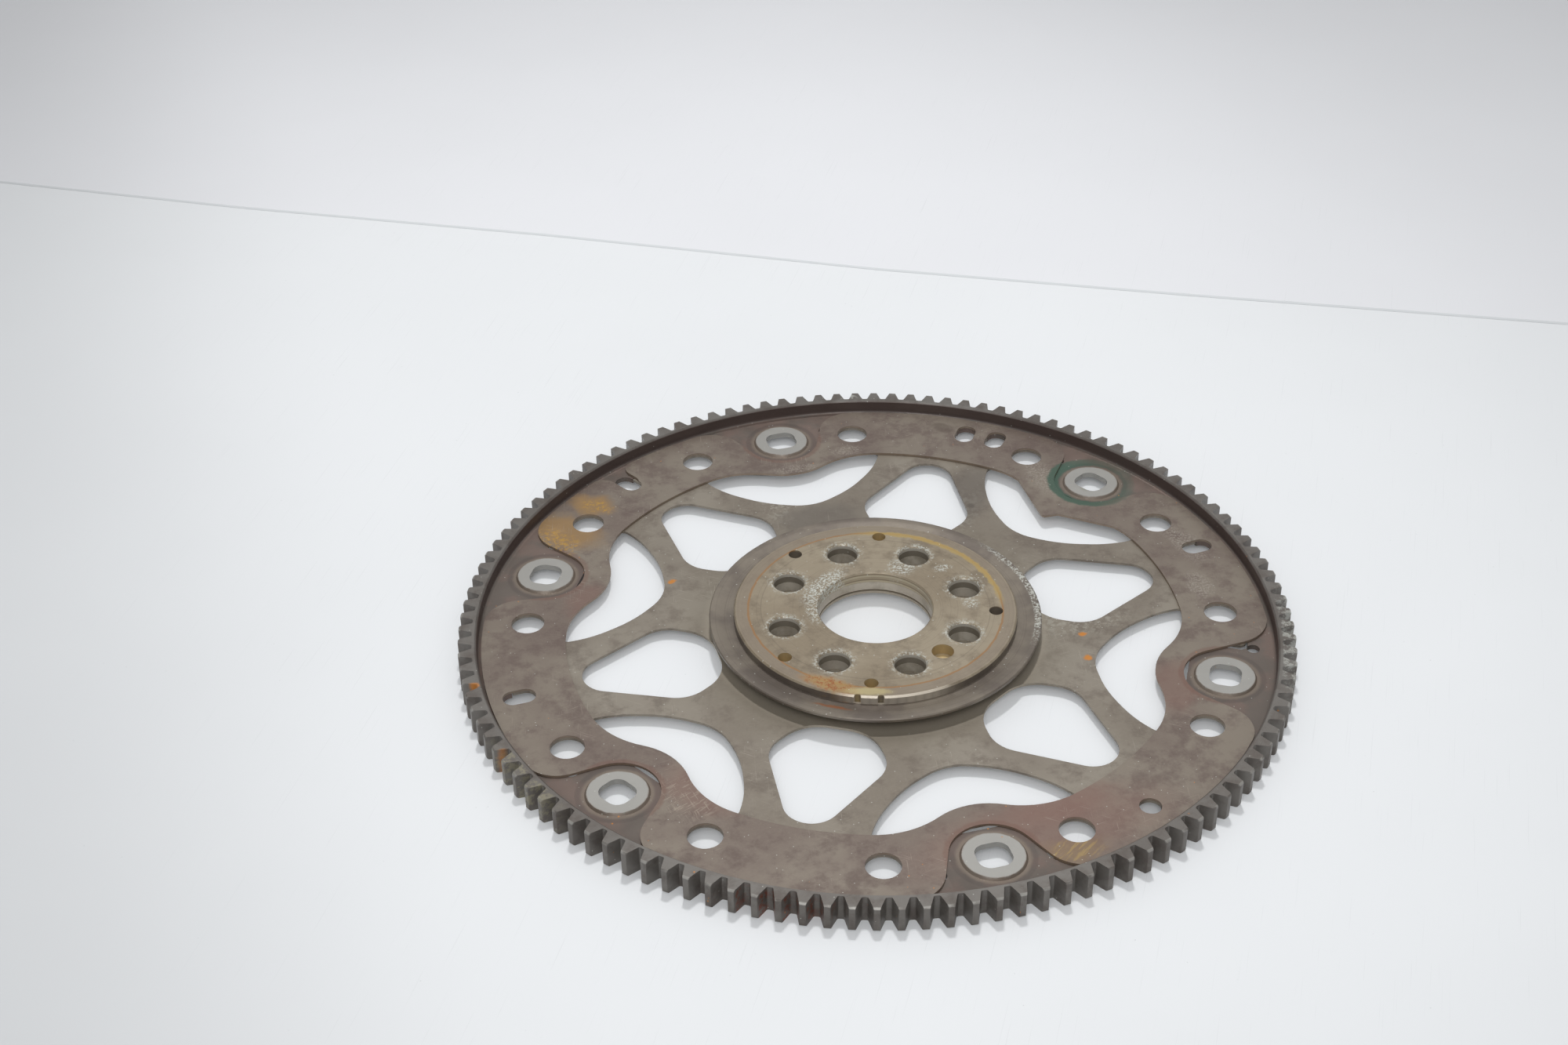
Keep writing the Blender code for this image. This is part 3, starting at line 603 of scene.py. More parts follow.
def build_ring_gear(balance):
    """The toothed rim with its web, six tabs and their raised, slotted pads."""
    low, high = -CUT_MARGIN, RIM_HEIGHT + CUT_MARGIN
    gear = turned("ring_gear_skin", gear_profile(), TEETH, FIRST_GAP_CLOCK)
    combine(gear, solid_plate("web_window", [web_inner_edge()], low, high), "DIFFERENCE")
    gap = tooth_gap()
    gaps = [turned_to(gap, FIRST_GAP_CLOCK + 360.0 / TEETH * i) for i in range(TEETH)]
    combine(gear, solid_plate("tooth_gaps", gaps, low, high), "DIFFERENCE")
    for lug in range(LUGS):
        place = at_clock(LUG_CIRCLE_RADIUS, lug * LUG_PITCH)
        middle = SPOKE_TOP - WEB_THICKNESS / 2
        spread = PAD_FOOT_RADIUS - PAD_RADIUS
        foot = PAD_FOOT_RADIUS + spread * (SPOKE_TOP - middle) / (PAD_TOP - SPOKE_TOP)
        combine(gear, frustum(f"pad_{lug}", foot, PAD_RADIUS, middle, PAD_TOP, place), "UNION")
        pressing = PAD_RADIUS - PAD_PRESSING_INSET
        hollow = frustum(f"pad_hollow_{lug}", pressing + PAD_PRESSING_DEPTH, pressing,
                         WEB_BOTTOM - PAD_PRESSING_DEPTH, WEB_BOTTOM + PAD_PRESSING_DEPTH, place)
        combine(gear, hollow, "DIFFERENCE")
    slot = rounded_box(SLOT_WIDTH, SLOT_HEIGHT, SLOT_CORNER, (0.0, LUG_CIRCLE_RADIUS))
    slots = [turned_to(slot, lug * LUG_PITCH) for lug in range(LUGS)]
    combine(gear, solid_plate("lug_slots", slots, low, high), "DIFFERENCE")
    web_hole = frustum("web_hole", WEB_HOLE_RADIUS, WEB_HOLE_RADIUS, low, high,
                       at_clock(RIM_INNER_RADIUS - WEB_HOLE_INSET, WEB_HOLE_CLOCK))
    combine(gear, web_hole, "DIFFERENCE")
    combine(gear, balance, "DIFFERENCE")
    return gear, settle(gear, 0.0)


def build_cover_ring(balance):
    """The thin ring over the joint between the web and the spoke disc."""
    loops = [cover_outer_edge(), cover_inner_edge()] + rim_holes()
    cover = solid_plate("cover_ring_skin", loops, COVER_BOTTOM, COVER_TOP)
    side = NOTCH_WIDTH / 2
    mouth = side + 2 * NOTCH_MOUTH_ROUND
    edge, bottom = COVER_OUTER_RADIUS, COVER_OUTER_RADIUS - NOTCH_DEPTH
    outline = rounded([
        (-mouth, edge + CUT_MARGIN, 0.0),
        (-side, edge - CUT_MARGIN, NOTCH_MOUTH_ROUND),
        (-side, bottom, side),
        (side, bottom, side),
        (side, edge - CUT_MARGIN, NOTCH_MOUTH_ROUND),
        (mouth, edge + CUT_MARGIN, 0.0),
    ])
    notch = solid_plate("cover_notch", [turned_to(outline, NOTCH_CLOCK)],
                        COVER_BOTTOM - CUT_MARGIN, COVER_TOP + CUT_MARGIN)
    combine(cover, notch, "DIFFERENCE")
    combine(cover, balance, "DIFFERENCE")
    return cover, settle(cover, EDGE_BREAK)


def build_spoke_disc(balance):
    """The thin disc with its kidney and fan windows, from the hub to the web's edge."""
    loops = [spoke_outer_edge(), circle(BORE_RADIUS)] + rim_holes() + windows()
    loops += crank_holes(CRANK_HOLE_RADIUS - CRANK_HOLE_STEP)
    disc = solid_plate("spoke_disc_skin", loops, SPOKE_BOTTOM, SPOKE_TOP)
    combine(disc, balance, "DIFFERENCE")
    return disc, settle(disc, EDGE_BREAK)


def build_hub_spacer():
    """The plain ring that holds the hub plate off the spoke disc."""
    profile = [
        (SPACER_RADIUS, SPACER_TOP),
        (SPACER_RADIUS, SPACER_BOTTOM),
        (BORE_RADIUS + SPACER_CHAMFER, SPACER_BOTTOM),
        (BORE_RADIUS, SPACER_BOTTOM + SPACER_CHAMFER),
        (BORE_RADIUS, SPACER_TOP),
    ]
    spacer = turned("hub_spacer_skin", profile, turning_steps(SPACER_RADIUS), 0.0)
    low, high = SPACER_BOTTOM - CUT_MARGIN, SPACER_TOP + CUT_MARGIN
    drill = solid_plate("spacer_holes", crank_holes(CRANK_HOLE_RADIUS), low, high)
    combine(spacer, drill, "DIFFERENCE")
    return spacer, settle(spacer, EDGE_BREAK)


def hub_profile():
    """Half section of the hub plate, from the boss's top outer edge and down."""
    lip_top = STEP_TOP + LIP_RISE
    lip_start = HUB_RADIUS - LIP_WIDTH
    return [
        (BOSS_RADIUS - BOSS_CHAMFER, HUB_TOP),
        (BOSS_RADIUS, HUB_TOP - BOSS_CHAMFER),
        (BOSS_RADIUS, STEP_TOP),
        (lip_start - LIP_SLOPE, STEP_TOP),
        (lip_start, lip_top),
        (HUB_RADIUS - HUB_EDGE_ROUND, lip_top),
        (HUB_RADIUS, lip_top - HUB_EDGE_ROUND),
        (HUB_RADIUS, HUB_BOTTOM + HUB_EDGE_ROUND),
        (HUB_RADIUS - HUB_EDGE_ROUND, HUB_BOTTOM),
        (BORE_RADIUS, HUB_BOTTOM),
        (BORE_RADIUS, HUB_TOP - BORE_CHAMFER),
        (BORE_RADIUS + BORE_CHAMFER, HUB_TOP),
    ]


def build_hub_plate():
    """The stepped plate that the crankshaft bolts clamp, with its pin and dowel holes."""
    hub = turned("hub_plate_skin", hub_profile(), turning_steps(HUB_RADIUS), 0.0)
    low, high = HUB_BOTTOM - CUT_MARGIN, HUB_TOP + CUT_MARGIN
    holes = crank_holes(CRANK_HOLE_RADIUS)
    holes += [circle(PIN_HOLE_RADIUS, at_clock(PIN_CIRCLE_RADIUS, c)) for c in PIN_HOLE_CLOCKS]
    holes += [circle(DOWEL_HOLE_RADIUS, at_clock(CRANK_CIRCLE_RADIUS, DOWEL_CLOCK))]
    combine(hub, solid_plate("hub_holes", holes, low, high), "DIFFERENCE")
    for i, clock in enumerate(crank_clocks()):
        sink = frustum(f"crank_chamfer_{i}", CRANK_HOLE_RADIUS - CUT_MARGIN,
                       CRANK_HOLE_RADIUS + CRANK_HOLE_CHAMFER + CUT_MARGIN,
                       HUB_TOP - CRANK_HOLE_CHAMFER - CUT_MARGIN, high,
                       at_clock(CRANK_CIRCLE_RADIUS, clock))
        combine(hub, sink, "DIFFERENCE")
    for i, clock in enumerate(BOSS_GROOVE_CLOCKS):
        groove = frustum(f"boss_groove_{i}", BOSS_GROOVE_RADIUS, BOSS_GROOVE_RADIUS, STEP_TOP,
                         high, at_clock(BOSS_RADIUS, clock))
        combine(hub, groove, "DIFFERENCE")
    return hub, settle(hub, 0.0)


# Materials

def tone(red, green, blue):
    """A screen colour from 0 to 255 as the linear colour that a shader takes."""
    def linear(level):
        level /= 255.0
        return level / 12.92 if level <= 0.04045 else ((level + 0.055) / 1.055) ** 2.4
    return (linear(red), linear(green), linear(blue))


class Paint:
    """One material under construction. Each call adds nodes and gives the socket they make."""

    def __init__(self, name):
        self.material = bpy.data.materials.new(name)
        self.material.use_nodes = True
        self.tree = self.material.node_tree
        self.shader = self.tree.nodes["Principled BSDF"]
        where = self.tree.nodes.new("ShaderNodeTexCoord").outputs["Object"]
        self.place = self.vector("SCALE", where, scale=1000.0)

    def feed(self, value, socket):
        """Link a socket, or set a plain value."""
        if isinstance(value, bpy.types.NodeSocket):
            self.tree.links.new(value, socket)
        elif socket.type == "RGBA":
            socket.default_value = (*value, 1.0)
        else:
            socket.default_value = value

    def math(self, operation, first, second=0.0):
        """A sum, product or other number from one or two others."""
        node = self.tree.nodes.new("ShaderNodeMath")
        node.operation = operation
        self.feed(first, node.inputs[0])
        self.feed(second, node.inputs[1])
        return node.outputs[0]

    def vector(self, operation, first, second=(0.0, 0.0, 0.0), scale=1.0):
        """A vector sum or product, or a length or distance."""
        node = self.tree.nodes.new("ShaderNodeVectorMath")
        node.operation = operation
        self.feed(first, node.inputs[0])
        self.feed(second, node.inputs[1])
        if operation == "SCALE":
            self.feed(scale, node.inputs["Scale"])
        return node.outputs["Value" if operation == "LENGTH" else "Vector"]

    def noise(self, size, detail=4.0, rough=0.55, place=None, colour=False):
        """Cloudy noise with blotches about this many millimetres across."""
        node = self.tree.nodes.new("ShaderNodeTexNoise")
        self.feed(place or self.place, node.inputs["Vector"])
        node.inputs["Scale"].default_value = 1.0 / size
        node.inputs["Detail"].default_value = detail
        node.inputs["Roughness"].default_value = rough
        return node.outputs["Color" if colour else "Fac"]

    def ramp(self, value, start, end, low=0.0, high=1.0):
        """A number that goes smoothly from low to high while value goes from start to end."""
        node = self.tree.nodes.new("ShaderNodeMapRange")
        node.interpolation_type = "SMOOTHSTEP"
        self.feed(value, node.inputs["Value"])
        for name, number in (("From Min", start), ("From Max", end), ("To Min", low), ("To Max", high)):
            self.feed(number, node.inputs[name])
        return node.outputs["Result"]

    def mix(self, share, first, second):
        """A blend of two colours."""
        node = self.tree.nodes.new("ShaderNodeMix")
        node.data_type = "RGBA"
        colours = [socket for socket in node.inputs if socket.type == "RGBA"]
        self.feed(share, node.inputs[0])
        self.feed(first, colours[0])
        self.feed(second, colours[1])
        return [socket for socket in node.outputs if socket.type == "RGBA"][0]

    def times(self, *values):
        """The product of several numbers."""
        product = values[0]
        for value in values[1:]:
            product = self.math("MULTIPLY", product, value)
        return product

    def stretched(self, across, along, turn):
        """The place squeezed across and along one direction, for scratches."""
        node = self.tree.nodes.new("ShaderNodeMapping")
        self.feed(self.place, node.inputs["Vector"])
        node.vector_type = "TEXTURE"
        node.inputs["Rotation"].default_value = (0.0, 0.0, radians(turn))
        node.inputs["Scale"].default_value = (along, across, 1.0)
        return node.outputs["Vector"]

    def ragged(self, size, reach):
        """The place pushed about by noise, so that what is drawn on it has ragged edges."""
        push = self.vector("SUBTRACT", self.noise(size, 5.0, 0.65, colour=True), (0.5, 0.5, 0.5))
        return self.vector("ADD", self.place, self.vector("SCALE", push, scale=reach))

    def blot(self, place, x, y, long, wide, turn=0.0, edge=0.6):
        """A mask that is 1 in the middle of an oval and 0 outside it."""
        node = self.tree.nodes.new("ShaderNodeMapping")
        self.feed(place, node.inputs["Vector"])
        node.vector_type = "TEXTURE"
        node.inputs["Location"].default_value = (x, y, 0.0)
        node.inputs["Rotation"].default_value = (0.0, 0.0, radians(turn))
        node.inputs["Scale"].default_value = (long, wide, 1000.0)
        return self.ramp(self.vector("LENGTH", node.outputs["Vector"]), 1.0, 1.0 - edge)

    def radius(self, place=None):
        """Distance from the axis."""
        return self.vector("LENGTH", self.vector("MULTIPLY", place or self.place, (1.0, 1.0, 0.0)))

    def band(self, radius, middle, half, edge):
        """A mask for a ring of this middle radius and half width."""
        off = self.math("ABSOLUTE", self.math("SUBTRACT", radius, middle))
        return self.ramp(off, half + edge, half)

    def along(self, axis):
        """One coordinate of the place."""
        node = self.tree.nodes.new("ShaderNodeSeparateXYZ")
        self.feed(self.place, node.inputs[0])
        return node.outputs[axis]

    def section(self):
        """The place on the turned section: radius and height only, for turning marks."""
        node = self.tree.nodes.new("ShaderNodeCombineXYZ")
        self.feed(self.radius(), node.inputs["X"])
        self.feed(self.along("Z"), node.inputs["Z"])
        return node.outputs[0]

    def bump(self, value, distance, strength=1.0):
        """Roughens the surface by this many metres."""
        node = self.tree.nodes.new("ShaderNodeBump")
        node.inputs["Strength"].default_value = strength
        node.inputs["Distance"].default_value = distance
        self.feed(value, node.inputs["Height"])
        self.tree.links.new(node.outputs["Normal"], self.shader.inputs["Normal"])


RUST = tone(146, 88, 48)
BRIGHT_RUST = tone(196, 126, 48)
OCHRE = tone(146, 118, 82)
YELLOW = tone(176, 150, 88)
PALE_YELLOW = tone(180, 166, 122)
CRUST = tone(200, 202, 194)
GREEN = tone(62, 90, 76)
OLIVE = tone(104, 104, 66)
RED_BROWN = tone(112, 80, 68)
# Holes of the hub plate that are full of ochre rust: their places and a reach past their edge
OCHRE_HOLES = [(*at_clock(PIN_CIRCLE_RADIUS * 1000.0, clock), 3.0) for clock in (19.3, 199.3, 244.3)]
OCHRE_HOLES += [(*at_clock(CRANK_CIRCLE_RADIUS * 1000.0, DOWEL_CLOCK), 4.5)]
LUG_PLACES = [at_clock(LUG_CIRCLE_RADIUS * 1000.0, lug * LUG_PITCH) for lug in range(LUGS)]


def worn_steel(paint, light, middle, dark, metal=0.35):
    """Base colour of old steel: broad stains, small mottling and fine grain in three tones."""
    broad = paint.ramp(paint.noise(42.0, 3.0), 0.38, 0.62)
    small = paint.ramp(paint.noise(9.0, 6.0, 0.62), 0.42, 0.66)
    grain = paint.noise(1.3, 5.0, 0.7)
    colour = paint.mix(broad, middle, light)
    colour = paint.mix(paint.times(small, 0.75), colour, dark)
    colour = paint.mix(paint.ramp(grain, 0.40, 0.75, 0.0, 0.30), colour, light)
    paint.shader.inputs["Metallic"].default_value = metal
    paint.feed(paint.ramp(small, 0.0, 1.0, 0.40, 0.52), paint.shader.inputs["Roughness"])
    paint.bump(grain, 0.00004, 0.6)
    return colour


def scratched(paint, colour, mark, amount, turns=(12.0, 78.0, 140.0)):
    """Thin pale scratches that run in a few directions, in patches."""
    patches = paint.ramp(paint.noise(24.0, 2.0), 0.46, 0.62)
    for i, turn in enumerate(turns):
        lines = paint.noise(1.0, 2.0, 0.5, paint.stretched(0.32 + 0.08 * i, 9.0, turn))
        colour = paint.mix(paint.times(paint.ramp(lines, 0.64, 0.74), patches, amount), colour, mark)
    return colour


def flecked(paint, colour, mark, size, rarity, amount):
    """Small separate spots."""
    node = paint.tree.nodes.new("ShaderNodeTexVoronoi")
    paint.feed(paint.ragged(size * 0.4, size * 0.5), node.inputs["Vector"])
    node.inputs["Scale"].default_value = 1.0 / (size * 4)
    chosen = paint.tree.nodes.new("ShaderNodeSeparateColor")
    paint.feed(node.outputs["Color"], chosen.inputs[0])
    here = paint.ramp(chosen.outputs[0], rarity, rarity + 0.02)
    spot = paint.ramp(node.outputs["Distance"], 0.16, 0.09)
    return paint.mix(paint.times(here, spot, amount), colour, mark)


def stained(paint, colour, place, marks, mark, amount):
    """Stains of one colour at chosen places: (x, y, half length, half width, turn)."""
    for x, y, long, wide, turn in marks:
        mask = paint.blot(place, x, y, long, wide, turn)
        colour = paint.mix(paint.times(mask, amount), colour, mark)
    return colour


def crusted(paint, colour, mask, mark, amount, size=0.9):
    """A crumbly crust inside a mask."""
    crumbs = paint.ramp(paint.noise(size, 6.0, 0.75), 0.47, 0.58)
    return paint.mix(paint.times(mask, crumbs, amount), colour, mark)


def lug_rings(paint, place, inner, outer, soft):
    """A mask for rings round all the lugs."""
    total = 0.0
    for x, y in LUG_PLACES:
        away = paint.vector("LENGTH", paint.vector("SUBTRACT", place, (x, y, 5.0)))
        total = paint.math("MAXIMUM", total, paint.band(away, (inner + outer) / 2,
                                                        (outer - inner) / 2, soft))
    return total


def green_ring(paint, colour):
    """The green stain round the second lug, strongest on its near left side."""
    x, y = LUG_PLACES[1]
    place = paint.ragged(3.5, 2.5)
    away = paint.vector("LENGTH", paint.vector("SUBTRACT", place, (x, y, 5.0)))
    ring = paint.band(away, 15.4, 1.6, 1.4)
    strong = paint.ramp(paint.vector("LENGTH", paint.vector("SUBTRACT", place, (x - 10.0, y, 5.0))),
                        28.0, 14.0, 0.25, 0.9)
    return paint.mix(paint.times(ring, strong), colour, GREEN)


def cover_paint():
    """Purplish brown steel with ochre, scratches and pale flecks,
    and painted light on its side walls.
    """
    paint = Paint("cover_steel")
    colour = worn_steel(paint, tone(132, 122, 110), tone(116, 103, 94), tone(96, 81, 75))
    loose = paint.ragged(7.0, 9.0)
    reddish = (
        (30.0, -112.0, 26.0, 13.0, 10.0), (-85.0, -72.0, 22.0, 14.0, 120.0),
        (92.0, -66.0, 20.0, 14.0, 60.0), (-100.0, 40.0, 20.0, 12.0, 90.0),
        (20.0, -124.0, 60.0, 22.0, 5.0),
    )
    colour = stained(paint, colour, loose, reddish, tone(126, 98, 88), 0.55)
    edges = lug_rings(paint, paint.ragged(4.0, 2.0), 15.0, 16.2, 1.2)
    colour = paint.mix(paint.times(edges, 0.45), colour, RED_BROWN)
    pale = ((-29.5, 103.6, 8.0, 4.0, 0.0), (0.0, 108.0, 12.0, 3.5, 0.0), (24.0, 115.0, 8.0, 4.0, 0.0),
            (95.0, 75.0, 20.0, 8.0, 95.0), (132.0, 15.0, 18.0, 7.0, 100.0),
            (126.0, -12.0, 12.0, 6.0, 80.0), (130.0, -52.0, 5.0, 3.0, 60.0))
    for x, y, long, wide, turn in pale:
        colour = crusted(paint, colour, paint.blot(loose, x, y, long, wide, turn),
                         tone(164, 156, 146), 0.55)
    colour = stained(paint, colour, loose, (
        (-101.0, 92.0, 23.0, 13.0, 135.0), (-86.0, 106.0, 13.0, 9.0, 140.0),
    ), OCHRE, 1.0)
    bright = paint.blot(loose, -104.0, 86.0, 14.0, 8.0, 120.0)
    bright = paint.math("MAXIMUM", bright, paint.blot(loose, -84.0, 104.0, 10.0, 5.0, 140.0))
    colour = crusted(paint, colour, bright, tone(178, 138, 62), 0.8, 1.6)
    streaks = paint.ramp(paint.noise(1.0, 3.0, 0.6, paint.stretched(1.2, 9.0, 35.0)), 0.5, 0.6)
    lobe = paint.blot(loose, 24.0, -136.0, 17.0, 8.0, 10.0)
    colour = paint.mix(paint.times(lobe, 0.6), colour, tone(134, 112, 82))
    colour = paint.mix(paint.times(lobe, streaks, 0.4), colour, YELLOW)
    colour = green_ring(paint, colour)
    colour = stained(paint, colour, loose, ((68.0, 121.0, 7.0, 4.0, 140.0),), tone(84, 72, 62), 0.5)
    colour = stained(paint, colour, loose, ((-124.0, -57.0, 8.0, 2.0, 60.0),
                                            (128.0, -58.0, 9.0, 1.5, 30.0)), tone(128, 96, 58), 0.5)
    fabric = paint.blot(loose, -90.0, -76.0, 16.0, 11.0, 110.0)
    for i, turn in enumerate((25.0, 100.0)):
        lines = paint.noise(1.0, 3.0, 0.6, paint.stretched(0.8, 5.0 + i, turn))
        colour = paint.mix(paint.times(fabric, paint.ramp(lines, 0.55, 0.66), 0.55), colour,
                           tone(160, 148, 134))
    colour = scratched(paint, colour, tone(166, 154, 142), 0.4)
    colour = flecked(paint, colour, CRUST, 0.4, 0.88, 0.6)
    colour = flecked(paint, colour, BRIGHT_RUST, 0.5, 0.975, 0.8)
    # Painted light: the cover's side walls, which lie in shade, are lightened
    sides = paint.ramp(paint.along("Z"), 5.24, 5.16)
    colour = paint.mix(paint.times(sides, 0.6), colour, tone(150, 132, 114))
    paint.feed(colour, paint.shader.inputs["Base Color"])
    return paint.material


def spoke_paint():
    """Brown-grey steel with pale mottling near the hub,
    and painted light on the disc under the hub's flange.
    """
    paint = Paint("spoke_steel")
    colour = worn_steel(paint, tone(142, 134, 122), tone(126, 117, 105), tone(104, 94, 84))
    loose = paint.ragged(8.0, 10.0)
    near = paint.ramp(paint.radius(loose), 84.0, 62.0)
    colour = paint.mix(paint.times(near, 0.35), colour, tone(130, 122, 106))
    for x, y, long, wide, turn in ((50.0, 60.0, 26.0, 13.0, 45.0), (75.0, -18.0, 24.0, 12.0, 0.0),
                                   (-45.0, -60.0, 16.0, 9.0, 60.0), (-15.0, 85.0, 16.0, 8.0, 90.0)):
        colour = crusted(paint, colour, paint.blot(loose, x, y, long, wide, turn),
                         tone(166, 162, 150), 0.5, 2.6)
    colour = flecked(paint, colour, CRUST, 0.45, 0.84, 0.6)
    colour = stained(paint, colour, paint.ragged(2.0, 2.0), (
        (-66.7, 48.2, 2.4, 1.6, 20.0), (72.5, -26.9, 2.2, 1.5, 0.0), (69.2, -40.5, 2.0, 2.0, 0.0),
    ), BRIGHT_RUST, 0.95)
    colour = stained(paint, colour, paint.place, ((60.6, 64.0, 2.2, 2.2, 0.0),), tone(70, 62, 54), 0.7)
    colour = stained(paint, colour, loose, ((0.0, 72.0, 24.0, 14.0, 0.0), (62.0, 72.0, 30.0, 14.0, 50.0)),
                     tone(98, 91, 84), 0.6)
    # Painted light: the disc under the hub's flange, in the flange's shade, is lightened
    under = paint.ramp(paint.radius(), 66.0, 60.0)
    colour = paint.mix(paint.times(under, 0.7), colour, tone(176, 166, 150))
    colour = scratched(paint, colour, tone(168, 160, 148), 0.4)
    paint.feed(colour, paint.shader.inputs["Base Color"])
    return paint.material


def gear_paint():
    """Grey teeth, a brown web, and pale pads about the slots; painted shade on the rim's inner wall
    and a painted highlight on the tooth tips.
    """
    paint = Paint("gear_steel")
    colour = worn_steel(paint, tone(116, 112, 107), tone(104, 99, 94), tone(88, 80, 74))
    radius, height = paint.radius(), paint.along("Z")
    web = paint.ramp(radius, 148.2, 147.6)
    brown = paint.mix(paint.ramp(paint.noise(12.0), 0.4, 0.6), tone(100, 91, 84), tone(112, 96, 88))
    colour = paint.mix(web, colour, brown)
    # The rim's inner wall: its own reddish brown tint, darkened further as painted shade
    painted_wall_shading = paint.times(paint.band(radius, 148.5, 0.4, 0.2), paint.ramp(height, 10.0, 9.4))
    colour = paint.mix(paint.times(painted_wall_shading, 0.85), colour, tone(82, 68, 64))
    soft = paint.ragged(3.0, 1.2)
    colour = paint.mix(paint.times(lug_rings(paint, soft, 12.6, 14.4, 0.8), 0.4), colour,
                       tone(80, 71, 67))
    colour = paint.mix(paint.times(lug_rings(paint, soft, 9.0, 12.0, 1.4), 0.8), colour,
                       tone(122, 110, 98))
    colour = paint.mix(lug_rings(paint, soft, 0.0, 10.2, 0.8), colour, tone(158, 156, 151))
    teeth = paint.ramp(radius, 149.6, 150.4)
    # Pale tooth tip edges: rubbed steel, with a painted highlight where the tip chamfers catch the light
    tips = paint.times(paint.ramp(radius, 154.0, 154.7), paint.ramp(height, 9.2, 9.9))
    wear_and_glint = paint.ramp(paint.noise(6.0), 0.35, 0.6)
    colour = paint.mix(paint.times(tips, wear_and_glint, 0.6), colour, tone(176, 174, 168))
    flanks = paint.times(teeth, paint.ramp(radius, 154.6, 153.8), paint.ramp(height, 9.8, 9.0))
    for clock, long, mark, amount, where in (
            (209.0, 25.0, tone(122, 64, 42), 0.9, flanks),
            (250.0, 30.0, tone(146, 140, 116), 0.6, teeth),
            (13.5, 5.0, CRUST, 0.5, teeth),
            (112.0, 46.0, CRUST, 0.45, teeth)):
        x, y = at_clock(152.5, clock)
        patch = paint.times(paint.blot(paint.ragged(4.0, 4.0), x, y, long, 7.0, -clock), where)
        colour = crusted(paint, colour, patch, mark, amount, 3.0)
    colour = stained(paint, colour, soft, ((-151.5, -0.6, 3.0, 2.2, 0.0), (-147.8, -39.6, 3.2, 2.4, 0.0)),
                     BRIGHT_RUST, 0.95)
    colour = green_ring(paint, colour)
    colour = stained(paint, colour, soft, ((110.5, 64.0, 6.0, 3.5, 60.0),), OLIVE, 0.5)
    colour = flecked(paint, colour, BRIGHT_RUST, 0.7, 0.965, 0.8)
    colour = flecked(paint, colour, CRUST, 0.4, 0.90, 0.6)
    paint.feed(colour, paint.shader.inputs["Base Color"])
    return paint.material


def spacer_paint():
    """Plain dull steel, with ochre rust below four holes of the hub plate."""
    paint = Paint("spacer_steel")
    colour = worn_steel(paint, tone(190, 182, 168), tone(172, 162, 148), tone(150, 140, 124))
    for x, y, reach in OCHRE_HOLES:
        colour = stained(paint, colour, paint.place, ((x, y, reach + 1.0, reach + 1.0, 0.0),),
                         tone(204, 182, 136), 0.9)
    paint.feed(colour, paint.shader.inputs["Base Color"])
    return paint.material


